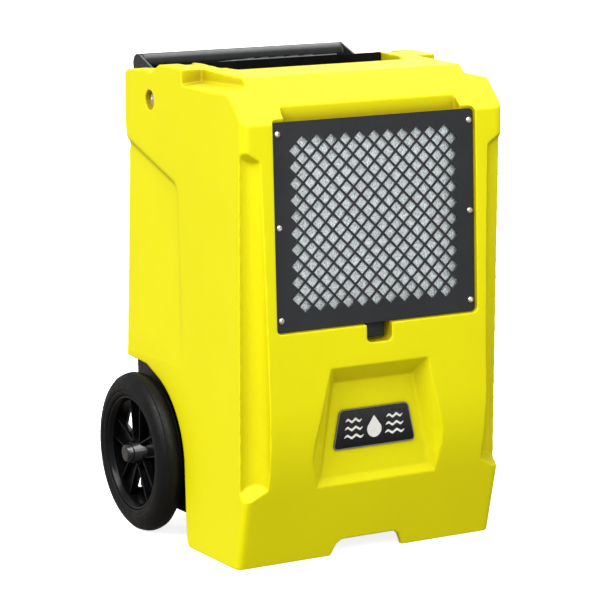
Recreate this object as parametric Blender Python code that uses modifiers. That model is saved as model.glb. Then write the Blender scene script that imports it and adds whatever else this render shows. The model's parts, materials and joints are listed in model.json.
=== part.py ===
"""Commercial dehumidifier on two wheels, modelled as an assembly of separate parts.

Units are metres, +Z is up and the front faces -Y.  The origin is on the floor, in the
middle of the overall width and depth.  Depths are measured back from the front face and
turned into world positions by back().
"""
from math import atan2, cos, degrees, pi, radians, sin

import bmesh
import bpy
from mathutils import Matrix, Vector

# ---------------------------------------------------------------- driving dimensions
GAP = 0.0003                  # clearance between parts that touch

WHEEL_R = 0.1016              # 8 inch wheel
WHEEL_DEPTH = 0.2884          # wheel centre behind the front face
WHEEL_X = 0.1865              # centre plane of each tyre
TYRE_W = 0.036
TYRE_BORE = 0.0734            # where the tyre sits on the rim
HUB_END_X = 0.2095            # outer end of the hub cap
AXLE_R = 0.006

BODY_HALF = 0.1785            # half width of the housing
WALL = 0.0095
BOTTOM_SETBACK = 0.042        # the lower front leans back to here at the floor
BEND_Z = 0.150                # height of the bend in the front face
BEVEL_Z = 0.5365              # start of the top front bevel
BEVEL = 0.052                 # depth and rise of that bevel
RIM_DEPTH, RIM_Z = 0.126, 0.592          # front rim of the top recess
EAR_DEPTH, EAR_Z = 0.219, 0.596          # highest part of the top, beside the console
NOTCH_DEPTH, NOTCH_Z = 0.243, 0.585      # dip in the side wall behind it
REAR_TOP_DEPTH, REAR_TOP_Z = 0.318, 0.582
REAR_LEAN = radians(3.27)     # the back leans forward towards the top
CORNER_R = 0.0085

FLUTE_TOP_Z, FLUTE_BOTTOM_Z = 0.5097, 0.0828
FLUTE_TOP_R, FLUTE_BOTTOM_R = 0.0173, 0.0230

GRILLE_HALF, GRILLE_Z0, GRILLE_Z1 = 0.1373, 0.2901, 0.5383
GRILLE_DEPTH, GRILLE_T = 0.0045, 0.002
MESH_PITCH_X, MESH_PITCH_Z = 0.0194, 0.0195      # pitch of the diamond openings
MESH_HOLE_X, MESH_HOLE_Z = 0.0082, 0.0082        # half diagonals of one opening
MESH_COLS, MESH_ROWS = 12, 11
MESH_RAISE = 0.0022           # the openings sit a little above the middle of the plate
SCREW_X = 0.131
SCREW_ZS = (0.5243, 0.4144, 0.3044)

BADGE_POCKET_DEPTH = 0.019
ARCH_R = 0.1084
ARCH_TOP_Z = 0.217
CHASSIS_HALF, CHASSIS_Z, SHEET = 0.165, 0.035, 0.0025
SHELF_Z = 0.262               # deck between the air path and the machinery

HANDLE_HALF, HANDLE_R = 0.1485, 0.0127    # outer faces of the arms, radius of the bar
ARM_T = 0.003                 # the arms are flat bars
PIVOT_DEPTH, PIVOT_Z = 0.248, 0.551
BAR_DEPTH, BAR_Z = 0.3443, 0.5883
SLOT_INNER, SLOT_OUTER = 0.1322, 0.1512
SLOT_FRONT, SLOT_FLOOR = 0.1985, 0.5310
BOLT_R, BOLT_HEAD_X, BOLT_LENGTH = 0.005, 0.1752, 0.0352

CONSOLE_HALF = 0.1272
CONSOLE_FRONT, CONSOLE_FRONT_Z = 0.2036, 0.5963
CONSOLE_REAR, CONSOLE_REAR_Z = 0.3155, 0.5835
GUTTER_Z = 0.566
BUTTON_R, BUTTON_TRAVEL = 0.006, 0.0015
BUTTON_NAMES = ("button_power", "button_up", "button_down", "button_purge", "button_mode")
BUTTON_STEP = 0.021

FAN_Z, FAN_R = 0.415, 0.088   # fan centre along the leaning back, and impeller radius

DEPTH = WHEEL_DEPTH + WHEEL_R
FRONT = -DEPTH / 2


def back(depth):
    """World Y of a point that lies this far behind the front face."""
    return FRONT + depth


REAR_FOOT = REAR_TOP_DEPTH + REAR_TOP_Z * sin(REAR_LEAN) / cos(REAR_LEAN)

# ---------------------------------------------------------------- materials
MATERIALS = {
    "yellow_plastic": ((0.86, 0.82, 0.02), 0.42, 0.0),
    "black_plastic": ((0.012, 0.012, 0.013), 0.38, 0.0),
    "black_steel": ((0.018, 0.018, 0.020), 0.45, 0.4),
    "charcoal_plate": ((0.030, 0.032, 0.036), 0.40, 0.3),
    "rubber": ((0.010, 0.010, 0.011), 0.62, 0.0),
    "zinc_steel": ((0.62, 0.61, 0.58), 0.32, 1.0),
    "copper": ((0.72, 0.33, 0.16), 0.28, 1.0),
    "aluminium": ((0.66, 0.67, 0.68), 0.35, 1.0),
    "filter_cloth": ((0.62, 0.67, 0.67), 0.95, 0.0),
    "grey_plastic": ((0.22, 0.23, 0.24), 0.50, 0.0),
    "display_lens": ((0.010, 0.014, 0.020), 0.10, 0.0),
    "button_rubber": ((0.30, 0.31, 0.32), 0.55, 0.0),
    "badge_film": ((0.035, 0.036, 0.040), 0.30, 0.2),
    "white_plastic": ((0.75, 0.75, 0.72), 0.45, 0.0),
    "circuit_board": ((0.03, 0.16, 0.07), 0.50, 0.0),
}


def material(name):
    """The named Principled material, made the first time it is asked for."""
    found = bpy.data.materials.get(name)
    if found:
        return found
    colour, roughness, metallic = MATERIALS[name]
    made = bpy.data.materials.new(name)
    made.use_nodes = True
    made.diffuse_color = (*colour, 1.0)
    shader = made.node_tree.nodes["Principled BSDF"]
    shader.inputs["Base Color"].default_value = (*colour, 1.0)
    shader.inputs["Roughness"].default_value = roughness
    shader.inputs["Metallic"].default_value = metallic
    return made


# ---------------------------------------------------------------- scene helpers
def start_scene():
    """Empty the scene and make the collections for the parts and the cutters."""
    for old in list(bpy.data.objects):
        bpy.data.objects.remove(old, do_unlink=True)
    made = []
    for name in ("dehumidifier", "cutters"):
        group = bpy.data.collections.new(name)
        bpy.context.scene.collection.children.link(group)
        made.append(group)
    return made


PARTS, CUTTERS = start_scene()


def from_bmesh(bm, name, mat=None, smooth=None):
    """Turn a bmesh into an object: a part if it has a material, else a cutter."""
    bmesh.ops.recalc_face_normals(bm, faces=bm.faces)
    mesh = bpy.data.meshes.new(name)
    bm.to_mesh(mesh)
    bm.free()
    obj = bpy.data.objects.new(name, mesh)
    if mat:
        mesh.materials.append(material(mat))
        PARTS.objects.link(obj)
    else:
        CUTTERS.objects.link(obj)
        obj.hide_render = True
        obj.display_type = "WIRE"
    if smooth:
        mesh.shade_smooth()
        mesh.set_sharp_from_angle(angle=radians(smooth))
    return obj


def box(name, lo, hi, mat=None, round_edges=0.0):
    """Axis-aligned box between two corners, its edges bevelled if asked."""
    bm = bmesh.new()
    size = Vector(hi) - Vector(lo)
    centre = (Vector(hi) + Vector(lo)) / 2
    bmesh.ops.create_cube(bm, size=1.0)
    bmesh.ops.scale(bm, vec=size, verts=bm.verts)
    bmesh.ops.translate(bm, vec=centre, verts=bm.verts)
    if round_edges:
        bmesh.ops.bevel(bm, geom=bm.edges[:], offset=round_edges, segments=2,
                        affect="EDGES", profile=0.5)
    return from_bmesh(bm, name, mat)


AXIS_TURN = {
    "X": Matrix.Rotation(pi / 2, 4, "Y"),
    "Y": Matrix.Rotation(-pi / 2, 4, "X"),
    "Z": Matrix.Identity(4),
}


def cylinder(name, centre, radius, length, axis="Z", mat=None, sides=24, radius2=None,
             chamfer=0.0):
    """Cylinder or cone about an axis through its centre."""
    bm = bmesh.new()
    bmesh.ops.create_cone(bm, cap_ends=True, segments=sides, radius1=radius,
                          radius2=radius if radius2 is None else radius2, depth=length)
    if chamfer:
        rims = [e for e in bm.edges if abs(e.verts[0].co.z - e.verts[1].co.z) < length / 4]
        bmesh.ops.bevel(bm, geom=rims, offset=chamfer, segments=1, affect="EDGES")
    bmesh.ops.transform(bm, matrix=Matrix.Translation(centre) @ AXIS_TURN[axis],
                        verts=bm.verts)
    return from_bmesh(bm, name, mat, smooth=40)


# An outline is drawn in the curve's own XY plane; these carry it into the world planes.
PLANES = {
    "XY": Matrix(((1, 0, 0, 0), (0, 1, 0, 0), (0, 0, 1, 0), (0, 0, 0, 1))),
    "XZ": Matrix(((1, 0, 0, 0), (0, 0, -1, 0), (0, 1, 0, 0), (0, 0, 0, 1))),
    "YZ": Matrix(((0, 0, 1, 0), (1, 0, 0, 0), (0, 1, 0, 0), (0, 0, 0, 1))),
}


def outline(name, points, lo, hi, plane, mat=None, holes=()):
    """Flat outline thickened between lo and hi along the plane's normal."""
    curve = bpy.data.curves.new(name, "CURVE")
    curve.dimensions = "2D"
    curve.fill_mode = "BOTH"
    curve.extrude = (hi - lo) / 2
    for ring in (points, *holes):
        spline = curve.splines.new("POLY")
        spline.points.add(len(ring) - 1)
        for point, (u, v) in zip(spline.points, ring):
            point.co = (u, v, 0, 1)
        spline.use_cyclic_u = True
    carrier = bpy.data.objects.new(name + "_curve", curve)
    CUTTERS.objects.link(carrier)
    bpy.context.view_layer.update()
    ready = carrier.evaluated_get(bpy.context.evaluated_depsgraph_get())
    mesh = bpy.data.meshes.new_from_object(ready)
    bpy.data.objects.remove(carrier, do_unlink=True)
    bpy.data.curves.remove(curve)
    bm = bmesh.new()
    bm.from_mesh(mesh)
    bpy.data.meshes.remove(mesh)
    bmesh.ops.remove_doubles(bm, verts=bm.verts, dist=1e-6)
    along = -(lo + hi) / 2 if plane == "XZ" else (lo + hi) / 2
    bmesh.ops.translate(bm, vec=(0, 0, along), verts=bm.verts)
    bmesh.ops.transform(bm, matrix=PLANES[plane], verts=bm.verts)
    return from_bmesh(bm, name, mat)


def turned(name, profile, centre, axis="Z", mat=None, sides=32, smooth=35):
    """Closed turned solid from (radius, height) points that run top to bottom."""
    bm = bmesh.new()
    points = [bm.verts.new((radius, 0, height)) for radius, height in profile]
    if profile[0][0] > 1e-6:
        points.append(points[0])
    for first, second in zip(points, points[1:]):
        bm.edges.new((first, second))
    mesh = bpy.data.meshes.new(name)
    bm.to_mesh(mesh)
    bm.free()
    mesh.materials.append(material(mat))
    obj = bpy.data.objects.new(name, mesh)
    PARTS.objects.link(obj)
    screw = obj.modifiers.new("turn", "SCREW")
    screw.axis = "Z"
    screw.steps = sides
    screw.render_steps = sides
    screw.use_merge_vertices = True
    screw.merge_threshold = 0.0001
    screw.use_smooth_shade = True
    flatten(obj)
    obj.data.set_sharp_from_angle(angle=radians(smooth))
    obj.data.transform(Matrix.Translation(centre) @ AXIS_TURN[axis])
    return obj


def tube(name, points, radius, mat, resolution=2):
    """Round bar or pipe along a list of world points, capped at both ends."""
    curve = bpy.data.curves.new(name, "CURVE")
    curve.dimensions = "3D"
    curve.bevel_depth = radius
    curve.bevel_resolution = resolution
    curve.use_fill_caps = True
    spline = curve.splines.new("POLY")
    spline.points.add(len(points) - 1)
    for point, place in zip(spline.points, points):
        point.co = (*place, 1)
    curve.materials.append(material(mat))
    obj = bpy.data.objects.new(name, curve)
    PARTS.objects.link(obj)
    return obj


def rounded_path(corners, radius, steps=3):
    """Points of a path through corners, each inner corner replaced by a short arc."""
    path = [Vector(corners[0])]
    for before, corner, after in zip(corners, corners[1:], corners[2:]):
        corner = Vector(corner)
        start = corner + (Vector(before) - corner).normalized() * radius
        end = corner + (Vector(after) - corner).normalized() * radius
        for step in range(steps + 1):
            t = step / steps
            path.append((1 - t) ** 2 * start + 2 * t * (1 - t) * corner + t * t * end)
    path.append(Vector(corners[-1]))
    return path


def flatten(obj):
    """Replace an object's mesh by its evaluated one and drop its modifiers."""
    bpy.context.view_layer.update()
    ready = obj.evaluated_get(bpy.context.evaluated_depsgraph_get())
    mesh = bpy.data.meshes.new_from_object(ready)
    obj.modifiers.clear()
    obj.data = mesh


def combine(obj, others, operation="DIFFERENCE"):
    """Cut, join or intersect an object with others, which are then discarded."""
    for other in others:
        modifier = obj.modifiers.new("boolean", "BOOLEAN")
        modifier.operation = operation
        modifier.object = other
        modifier.solver = "EXACT"
    flatten(obj)
    for other in others:
        bpy.data.objects.remove(other, do_unlink=True)
    keep_one_material(obj)
    return obj


def keep_one_material(obj):
    """A part that was cut or joined keeps only its own first material."""
    mesh = obj.data
    while len(mesh.materials) > 1:
        mesh.materials.pop()
    for face in mesh.polygons:
        face.material_index = 0


def mirrored(obj, name):
    """The same shape on the other side of the X=0 plane, as an object of its own."""
    bm = bmesh.new()
    bm.from_mesh(obj.data)
    bmesh.ops.scale(bm, vec=(-1, 1, 1), verts=bm.verts)
    bmesh.ops.reverse_faces(bm, faces=bm.faces)
    mesh = obj.data.copy()
    mesh.name = name
    bm.to_mesh(mesh)
    bm.free()
    twin = bpy.data.objects.new(name, mesh)
    obj.users_collection[0].objects.link(twin)
    twin.hide_render = obj.hide_render
    twin.display_type = obj.display_type
    return twin


def empty(name, place, turn_x=0.0, parent=None):
    """A frame that parts are parented to."""
    frame = bpy.data.objects.new(name, None)
    PARTS.objects.link(frame)
    frame.location = place
    frame.rotation_euler = (turn_x, 0, 0)
    frame.parent = parent
    return frame


def hang(frame, *objects):
    """Parent objects whose shapes were made in the frame's own coordinates."""
    for obj in objects:
        obj.parent = frame


def arc(centre, radius, start, end, steps):
    """Points on an arc, angles in degrees, both ends included."""
    points = []
    for step in range(steps + 1):
        angle = radians(start + (end - start) * step / steps)
        points.append((centre[0] + radius * cos(angle), centre[1] + radius * sin(angle)))
    return points


def round_rect(half_w, lo, hi, radius, steps=3):
    """Rectangle with round corners, centred across, between two heights."""
    corners = (
        (half_w - radius, hi - radius, 0), (-half_w + radius, hi - radius, 90),
        (-half_w + radius, lo + radius, 180), (half_w - radius, lo + radius, 270),
    )
    points = []
    for u, v, angle in corners:
        points += arc((u, v), radius, angle, angle + 90, steps)
    return points


# ---------------------------------------------------------------- housing
def housing_blank():
    """Outer block of the housing: its side profile carried across the whole width."""
    rise = BEND_Z * 0.12
    profile = [
        (back(BOTTOM_SETBACK), 0.0),
        (back(BOTTOM_SETBACK * 0.095), BEND_Z - rise),
        (back(0.0007), BEND_Z),
        (back(0.0), BEND_Z + rise),
        (back(0.0), BEVEL_Z),
        (back(BEVEL), BEVEL_Z + BEVEL),
        (back(RIM_DEPTH), RIM_Z),
        (back(CONSOLE_FRONT), EAR_Z),
        (back(EAR_DEPTH), EAR_Z),
        (back(NOTCH_DEPTH), NOTCH_Z),
        (back(0.257), 0.588),
        (back(0.309), 0.586),
        (back(REAR_TOP_DEPTH), REAR_TOP_Z),
        (back(REAR_FOOT), 0.0),
    ]
    blank = outline("housing_shell", profile, -BODY_HALF, BODY_HALF, "YZ",
                    "yellow_plastic")
    bm = bmesh.new()
    bm.from_mesh(blank.data)
    flat = [e for e in bm.edges if e.is_manifold and e.calc_face_angle() < radians(0.05)]
    bmesh.ops.dissolve_edges(bm, edges=flat, use_verts=False)
    limit = back(BOTTOM_SETBACK) + 0.001
    corners = []
    for edge in bm.edges:
        ends = [vert.co for vert in edge.verts]
        on_side = all(abs(abs(co.x) - BODY_HALF) < 1e-5 for co in ends)
        in_front = all(co.y < limit and co.z < BEVEL_Z + 0.001 for co in ends)
        if on_side and in_front and abs(ends[0].z - ends[1].z) > 1e-4:
            corners.append(edge)
    bmesh.ops.bevel(bm, geom=corners, offset=CORNER_R, segments=3, affect="EDGES",
                    profile=0.5)
    bm.to_mesh(blank.data)
    bm.free()
    return blank


def flute_cutter():
    """Concave groove down a front corner, its two ends sloping out at about 45 degrees."""
    corner = Vector((BODY_HALF, back(0.0), 0))
    inward = Vector((-0.6, 0.8, 0)).normalized()
    middle = (FLUTE_TOP_Z + FLUTE_BOTTOM_Z) / 2
    length = FLUTE_TOP_Z - FLUTE_BOTTOM_Z
    bm = bmesh.new()
    bmesh.ops.create_cone(bm, cap_ends=True, segments=28, radius1=FLUTE_BOTTOM_R,
                          radius2=FLUTE_TOP_R, depth=length)
    lean = 0.0145
    for vert in bm.verts:
        top = vert.co.z > 0
        vert.co.x += 0.172
        vert.co.y += back(-0.0061 if top else -0.0061 + lean)
        vert.co.z += middle
        start = corner if top else corner + Vector((0, 0.0154, 0))
        reach = (vert.co - start) @ inward
        vert.co.z += -1.1 * reach if top else 1.1 * reach
    return from_bmesh(bm, "flute_cutter")


def ledge_cutter():
    """Step along the top side edge: a ledge that slopes outwards and a wall set inwards."""
    bm = bmesh.new()
    bmesh.ops.create_cube(bm, size=1.0)
    for vert in bm.verts:
        outer, rear, upper = (co > 0 for co in vert.co)
        outer_z = 0.5717 if rear else 0.5663
        vert.co = (
            0.200 if outer else 0.150,
            back(0.157 if rear else 0.005),
            0.640 if upper else (outer_z if outer else 0.578),
        )
    return from_bmesh(bm, "ledge_cutter")


def side_recess_cutter():
    """Shallow recess in the rear of the side wall, fading out towards the wheel arch."""
    depth = 0.006
    bottom = ARCH_TOP_Z + 0.010
    rim = [
        (back(0.178), bottom), (back(0.178), 0.446), (back(0.186), 0.456),
        (back(0.360), 0.5142), (back(0.360), bottom),
    ]
    cutter = outline("side_recess_cutter", rim, BODY_HALF - depth, BODY_HALF, "YZ")
    mesh = cutter.data
    for vert in mesh.vertices:
        inner = vert.co.x < BODY_HALF - depth / 2
        if not inner:
            vert.co.x += 0.0001
            continue
        if vert.co.z < bottom + 0.001:
            vert.co.x = BODY_HALF - 0.0002
        elif vert.co.y < back(0.3):
            vert.co.y += depth * 0.8
            vert.co.z -= depth
        else:
            vert.co.z -= depth * 1.3
    return cutter


def arch_cutter():
    """Opening for the wheel and the chassis below it."""
    hub = (back(WHEEL_DEPTH), WHEEL_R)
    front_edge = hub[0] - ARCH_R
    points = [(front_edge - 0.014, -0.02), (front_edge - 0.007, 0.0)]
    points += [(front_edge - 0.002, 0.004), (front_edge, 0.012)]
    points += arc(hub, ARCH_R, 180, 108, 10)
    points += [(back(0.282), ARCH_TOP_Z - 0.002), (back(0.345), ARCH_TOP_Z + 0.001)]
    points += [(back(0.400), ARCH_TOP_Z + 0.001), (back(0.400), -0.02)]
    return outline("arch_cutter", points, 0.100, 0.200, "YZ")


def badge_pocket_cutter():
    """Four-sided funnel with its small end at the pocket floor."""
    front_depth = -0.004
    points = [(-1, 1), (1, 1), (1, -1), (-1, -1)]
    cutter = outline("badge_pocket_cutter", points, 0.0, 1.0, "XZ")
    stretch = (BADGE_POCKET_DEPTH - front_depth) / BADGE_POCKET_DEPTH
    floor = {True: (0.055, 0.219), False: (0.075, 0.104)}
    mouth = {True: (0.068, 0.241), False: (0.112, 0.061)}
    for vert in cutter.data.vertices:
        upper = vert.co.z > 0
        side = 1 if vert.co.x > 0 else -1
        half, height = floor[upper]
        depth = BADGE_POCKET_DEPTH
        if vert.co.y < 0.5:
            half += (mouth[upper][0] - floor[upper][0]) * stretch
            height += (mouth[upper][1] - floor[upper][1]) * stretch
            depth = front_depth
        vert.co = (side * half, back(depth), height)
    return cutter


def cavity():
    """Hollow inside of the housing, kept clear of the flutes and the handle pockets."""
    half = BODY_HALF - WALL
    plan = [(-half, back(0.052)), (-0.138, back(0.026)), (0.138, back(0.026)),
            (half, back(0.052)), (half, back(0.400)), (-half, back(0.400))]
    hollow = outline("cavity", plan, -0.030, 0.5585, "XY")
    slope = [(back(0.010), -0.05), (back(0.060), -0.05), (back(0.050), 0.0),
             (back(0.026), 0.118), (back(0.010), 0.118)]
    toe = outline("cavity_toe", slope, -0.2, 0.2, "YZ")
    brow = [(back(0.020), 0.530), (back(0.075), 0.5851), (back(0.020), 0.5851)]
    brow = outline("cavity_brow", brow, -0.2, 0.2, "YZ")
    top = box("cavity_top", (-0.120, back(0.066), 0.540), (0.120, back(0.121), 0.5835))
    pockets = []
    for side in (-1, 1):
        span = sorted((side * (SLOT_INNER - 0.0041), side * (SLOT_OUTER + 0.030)))
        pockets.append(box("cavity_pocket", (span[0], back(SLOT_FRONT - 0.006), 0.527),
                           (span[1], back(0.45), 0.62)))
    deck = CONSOLE_HALF + GAP
    rear = box("cavity_rear", (-deck, back(0.15), 0.50), (deck, back(0.40), 0.60))
    combine(hollow, [top, rear], "UNION")
    return combine(hollow, [toe, brow, *pockets])


def top_outline(gap):
    """Plan of the top opening: it flares from the front rim, then runs straight back."""
    half = CONSOLE_HALF + gap
    right = [(0.116 + gap, back(RIM_DEPTH + 0.001 - gap)), (half, back(0.180)),
             (half, back(0.400))]
    return right + [(-x, y) for x, y in reversed(right)]


def make_housing():
    shell = housing_blank()
    cutters = []
    for cutter in (flute_cutter(), ledge_cutter(), side_recess_cutter(), arch_cutter()):
        cutters += [cutter, mirrored(cutter, cutter.name + "_left")]
    pocket = round_rect(GRILLE_HALF + 0.0012, GRILLE_Z0 - 0.0012, 0.5415, 0.006)
    floor = back(GRILLE_DEPTH + GRILLE_T + GAP)
    cutters.append(outline("grille_pocket", pocket, back(-0.02), floor, "XZ"))
    brow = [(-0.1215, 0.530), (0.1215, 0.530), (0.1175, 0.580), (-0.1175, 0.580)]
    cutters.append(outline("brow_pocket", brow, back(-0.02), back(0.0185), "XZ"))
    cutters.append(box("air_window", (-0.122, back(0.0), 0.300), (0.122, back(0.05), 0.529)))
    finger = round_rect(0.0172, 0.2672, 0.310, 0.006)
    cutters.append(outline("finger_notch", finger, back(-0.02), back(0.022), "XZ"))
    cutters.append(badge_pocket_cutter())
    notch = [(-0.054, -0.01), (-0.049, 0.004), (-0.044, 0.015), (-0.037, 0.020),
             (0.037, 0.020), (0.044, 0.015), (0.049, 0.004), (0.054, -0.01)]
    cutters.append(outline("floor_notch", notch, back(-0.02), back(0.09), "XZ"))
    cutters.append(outline("top_opening", top_outline(GAP), 0.5625, 0.640, "XY"))
    for side in (-1, 1):
        low, high = sorted((side * SLOT_INNER, side * SLOT_OUTER))
        cutters.append(box("arm_slot", (low, back(SLOT_FRONT), SLOT_FLOOR),
                           (high, back(0.4), 0.64)))
        centre = Vector((side * 0.181, back(PIVOT_DEPTH), PIVOT_Z))
        cutters.append(cylinder("pivot_recess", centre, 0.0122, 0.024, "X"))
        centre.x = side * 0.162
        cutters.append(cylinder("pivot_hole", centre, BOLT_R + 0.0003, 0.050, "X"))
    cutters.append(cavity())
    return combine(shell, cutters)


# ---------------------------------------------------------------- intake grille and filter
def mesh_holes():
    """Diamond openings: two interleaved grids on the same diagonal pitch."""
    centre_z = (GRILLE_Z0 + GRILLE_Z1) / 2 + MESH_RAISE
    holes = []
    for shift in (0, 1):
        columns, rows = MESH_COLS - 1 + shift, MESH_ROWS - shift
        for column in range(columns):
            for row in range(rows):
                u = (column - (columns - 1) / 2) * MESH_PITCH_X
                v = centre_z + (row - (rows - 1) / 2) * MESH_PITCH_Z
                holes.append([(u + MESH_HOLE_X, v), (u, v + MESH_HOLE_Z),
                              (u - MESH_HOLE_X, v), (u, v - MESH_HOLE_Z)])
    return holes


def make_grille():
    rim = round_rect(GRILLE_HALF, GRILLE_Z0, GRILLE_Z1, 0.005)
    bores = [arc((x, z), 0.0022, 0, 330, 11) for x in (-SCREW_X, SCREW_X) for z in SCREW_ZS]
    front = back(GRILLE_DEPTH)
    return outline("filter_grille_plate", rim, front, front + GRILLE_T, "XZ",
                   "charcoal_plate", holes=[*mesh_holes(), *bores])


def make_grille_screws():
    """Six pan-head screws, numbered from the top left."""
    number = 0
    for z in SCREW_ZS:
        for x in (-SCREW_X, SCREW_X):
            number += 1
            profile = [(0.0, 0.0026), (0.0024, 0.0021), (0.0038, 0.0008), (0.0038, GAP),
                       (0.0017, GAP), (0.0017, -0.0021), (0.0, -0.0021)]
            turned("grille_screw_%d" % number, profile, (x, 0, 0), "Z", "zinc_steel", 12)
            screw = bpy.data.objects["grille_screw_%d" % number]
            screw.data.transform(Matrix.Translation((x, back(GRILLE_DEPTH), z))
                                 @ Matrix.Rotation(pi / 2, 4, "X")
                                 @ Matrix.Translation((-x, 0, 0)))


def make_filter():
    front = back(GRILLE_DEPTH + GRILLE_T) + 0.0022
    return box("filter_media", (-0.1205, front, 0.3015), (0.1205, front + 0.012, 0.5275),
               "filter_cloth", round_edges=0.002)


def make_filter_frame():
    rim = round_rect(0.1335, 0.2935, 0.5345, 0.003, 1)
    window = round_rect(0.112, 0.3105, 0.5185, 0.003, 1)
    return outline("filter_frame", rim, back(0.0270), back(0.0330), "XZ", "grey_plastic",
                   holes=[window])


# ---------------------------------------------------------------- badge
def make_badge():
    floor = back(BADGE_POCKET_DEPTH)
    corners = [(-0.0563, 0.1365), (0.0563, 0.1365), (0.0477, 0.1848), (-0.0477, 0.1848)]
    points = []
    for index, corner in enumerate(corners):
        before = Vector(corners[index - 1])
        after = Vector(corners[(index + 1) % 4])
        here = Vector(corner)
        start = here + (before - here).normalized() * 0.005
        end = here + (after - here).normalized() * 0.005
        for t in (0.0, 0.33, 0.67, 1.0):
            spot = (1 - t) ** 2 * start + 2 * t * (1 - t) * here + t * t * end
            points.append(tuple(spot))
    return outline("badge_plate", points, floor - 0.0018, floor - GAP, "XZ", "badge_film")


# ---------------------------------------------------------------- top console
def make_console():
    """Black moulding in the top opening: a gutter, a front wall and a sloping deck."""
    t = 0.003
    slope = (CONSOLE_REAR_Z - CONSOLE_FRONT_Z) / (CONSOLE_REAR - CONSOLE_FRONT)
    profile = [
        (back(RIM_DEPTH + 0.001), 0.5885), (back(RIM_DEPTH + 0.001), GUTTER_Z - t),
        (back(CONSOLE_FRONT + t), GUTTER_Z - t),
        (back(CONSOLE_FRONT + t), CONSOLE_FRONT_Z + slope * t - t),
        (back(CONSOLE_REAR - t), CONSOLE_REAR_Z - slope * t - t),
        (back(CONSOLE_REAR - t), 0.5665), (back(CONSOLE_REAR), 0.5665),
        (back(CONSOLE_REAR), CONSOLE_REAR_Z), (back(CONSOLE_FRONT), CONSOLE_FRONT_Z),
        (back(CONSOLE_FRONT), GUTTER_Z), (back(RIM_DEPTH + 0.001 + t), GUTTER_Z),
        (back(RIM_DEPTH + 0.001 + t), 0.5885),
    ]
    body = outline("control_console", profile, -CONSOLE_HALF, CONSOLE_HALF, "YZ",
                   "black_plastic")
    keep = outline("console_plan", top_outline(-GAP), 0.55, 0.61, "XY")
    combine(body, [keep], "INTERSECT")
    trims = []
    window = [(-0.068, back(0.228)), (0.068, back(0.228)),
              (0.068, back(0.286)), (-0.068, back(0.286))]
    trims.append(outline("console_window", window, 0.57, 0.61, "XY"))
    combine(body, trims)

    angle = atan2(CONSOLE_REAR_Z - CONSOLE_FRONT_Z, CONSOLE_REAR - CONSOLE_FRONT)
    frame = empty("console_frame", ((0, back((CONSOLE_FRONT + CONSOLE_REAR) / 2 - 0.0025),
                                     (CONSOLE_FRONT_Z + CONSOLE_REAR_Z) / 2 + 0.0003)),
                  turn_x=angle)
    holes = [arc((button_x(i), -0.017), BUTTON_R + 0.0004, 0, 337.5, 15)
             for i in range(len(BUTTON_NAMES))]
    rim = round_rect(0.076, -0.034, 0.034, 0.006)
    lens_rim = round_rect(0.034, 0.0, 0.024, 0.003)
    lens_hole = round_rect(0.0343, -0.0003, 0.0243, 0.003)
    fascia = outline("control_fascia", rim, GAP, GAP + 0.0015, "XY", "grey_plastic",
                     holes=[lens_hole, *holes])
    lens = outline("display_lens", lens_rim, -0.0008, GAP + 0.0019, "XY", "display_lens")
    board = outline("control_board", round_rect(0.064, -0.027, 0.027, 0.002, 1),
                    -0.0088, -0.0072, "XY", "circuit_board")
    hang(frame, fascia, lens, board)
    for i, name in enumerate(BUTTON_NAMES):
        profile = [(0.0, 0.0036), (BUTTON_R - 0.0012, 0.0034), (BUTTON_R, 0.0026),
                   (BUTTON_R, -0.0030), (0.0, -0.0030)]
        button = turned(name, profile, (0, 0, 0), "Z", "button_rubber", 16)
        button.location = (button_x(i), -0.017, 0)
        hang(frame, button)


def button_x(index):
    return (index - (len(BUTTON_NAMES) - 1) / 2) * BUTTON_STEP


# ---------------------------------------------------------------- handle
def make_handle():
    """Handle that stands up on two pivot bolts: a round bar between two flat arms."""
    pivot = Vector((0, back(PIVOT_DEPTH), PIVOT_Z))
    bar = Vector((0, back(BAR_DEPTH), BAR_Z)) - pivot
    frame = empty("handle_frame", pivot)
    tilt = degrees(atan2(bar.z, bar.y))

    length = 2 * (HANDLE_HALF - ARM_T - GAP)
    crossbar = cylinder("handle_crossbar", bar, HANDLE_R, length, "X", sides=32,
                        mat="black_steel")
    hang(frame, crossbar)

    rounded = (arc((0, 0), HANDLE_R, tilt + 90, tilt + 270, 12)
               + arc((bar.y, bar.z), HANDLE_R, tilt - 90, tilt + 90, 12))
    bore = arc((0, 0), BOLT_R + 0.0001, 0, 345, 24)
    for side, name in ((-1, "left"), (1, "right")):
        faces = sorted((side * HANDLE_HALF, side * (HANDLE_HALF - ARM_T)))
        arm = outline("handle_arm_" + name, rounded, *faces, "YZ", "black_steel",
                      holes=[bore])
        hang(frame, arm)
        profile = [(0.0, 0.0), (0.0085, 0.0), (0.0095, -0.001), (0.0095, -0.006),
                   (BOLT_R, -0.006), (BOLT_R, -BOLT_LENGTH), (0.0, -BOLT_LENGTH)]
        bolt = turned("handle_pivot_bolt_" + name, profile, (0, 0, 0), "Z", "zinc_steel")
        turn = Matrix.Rotation(side * pi / 2, 4, "Y")
        place = Matrix.Translation(pivot + Vector((side * BOLT_HEAD_X, 0, 0)))
        bolt.data.transform(place @ turn)


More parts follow.
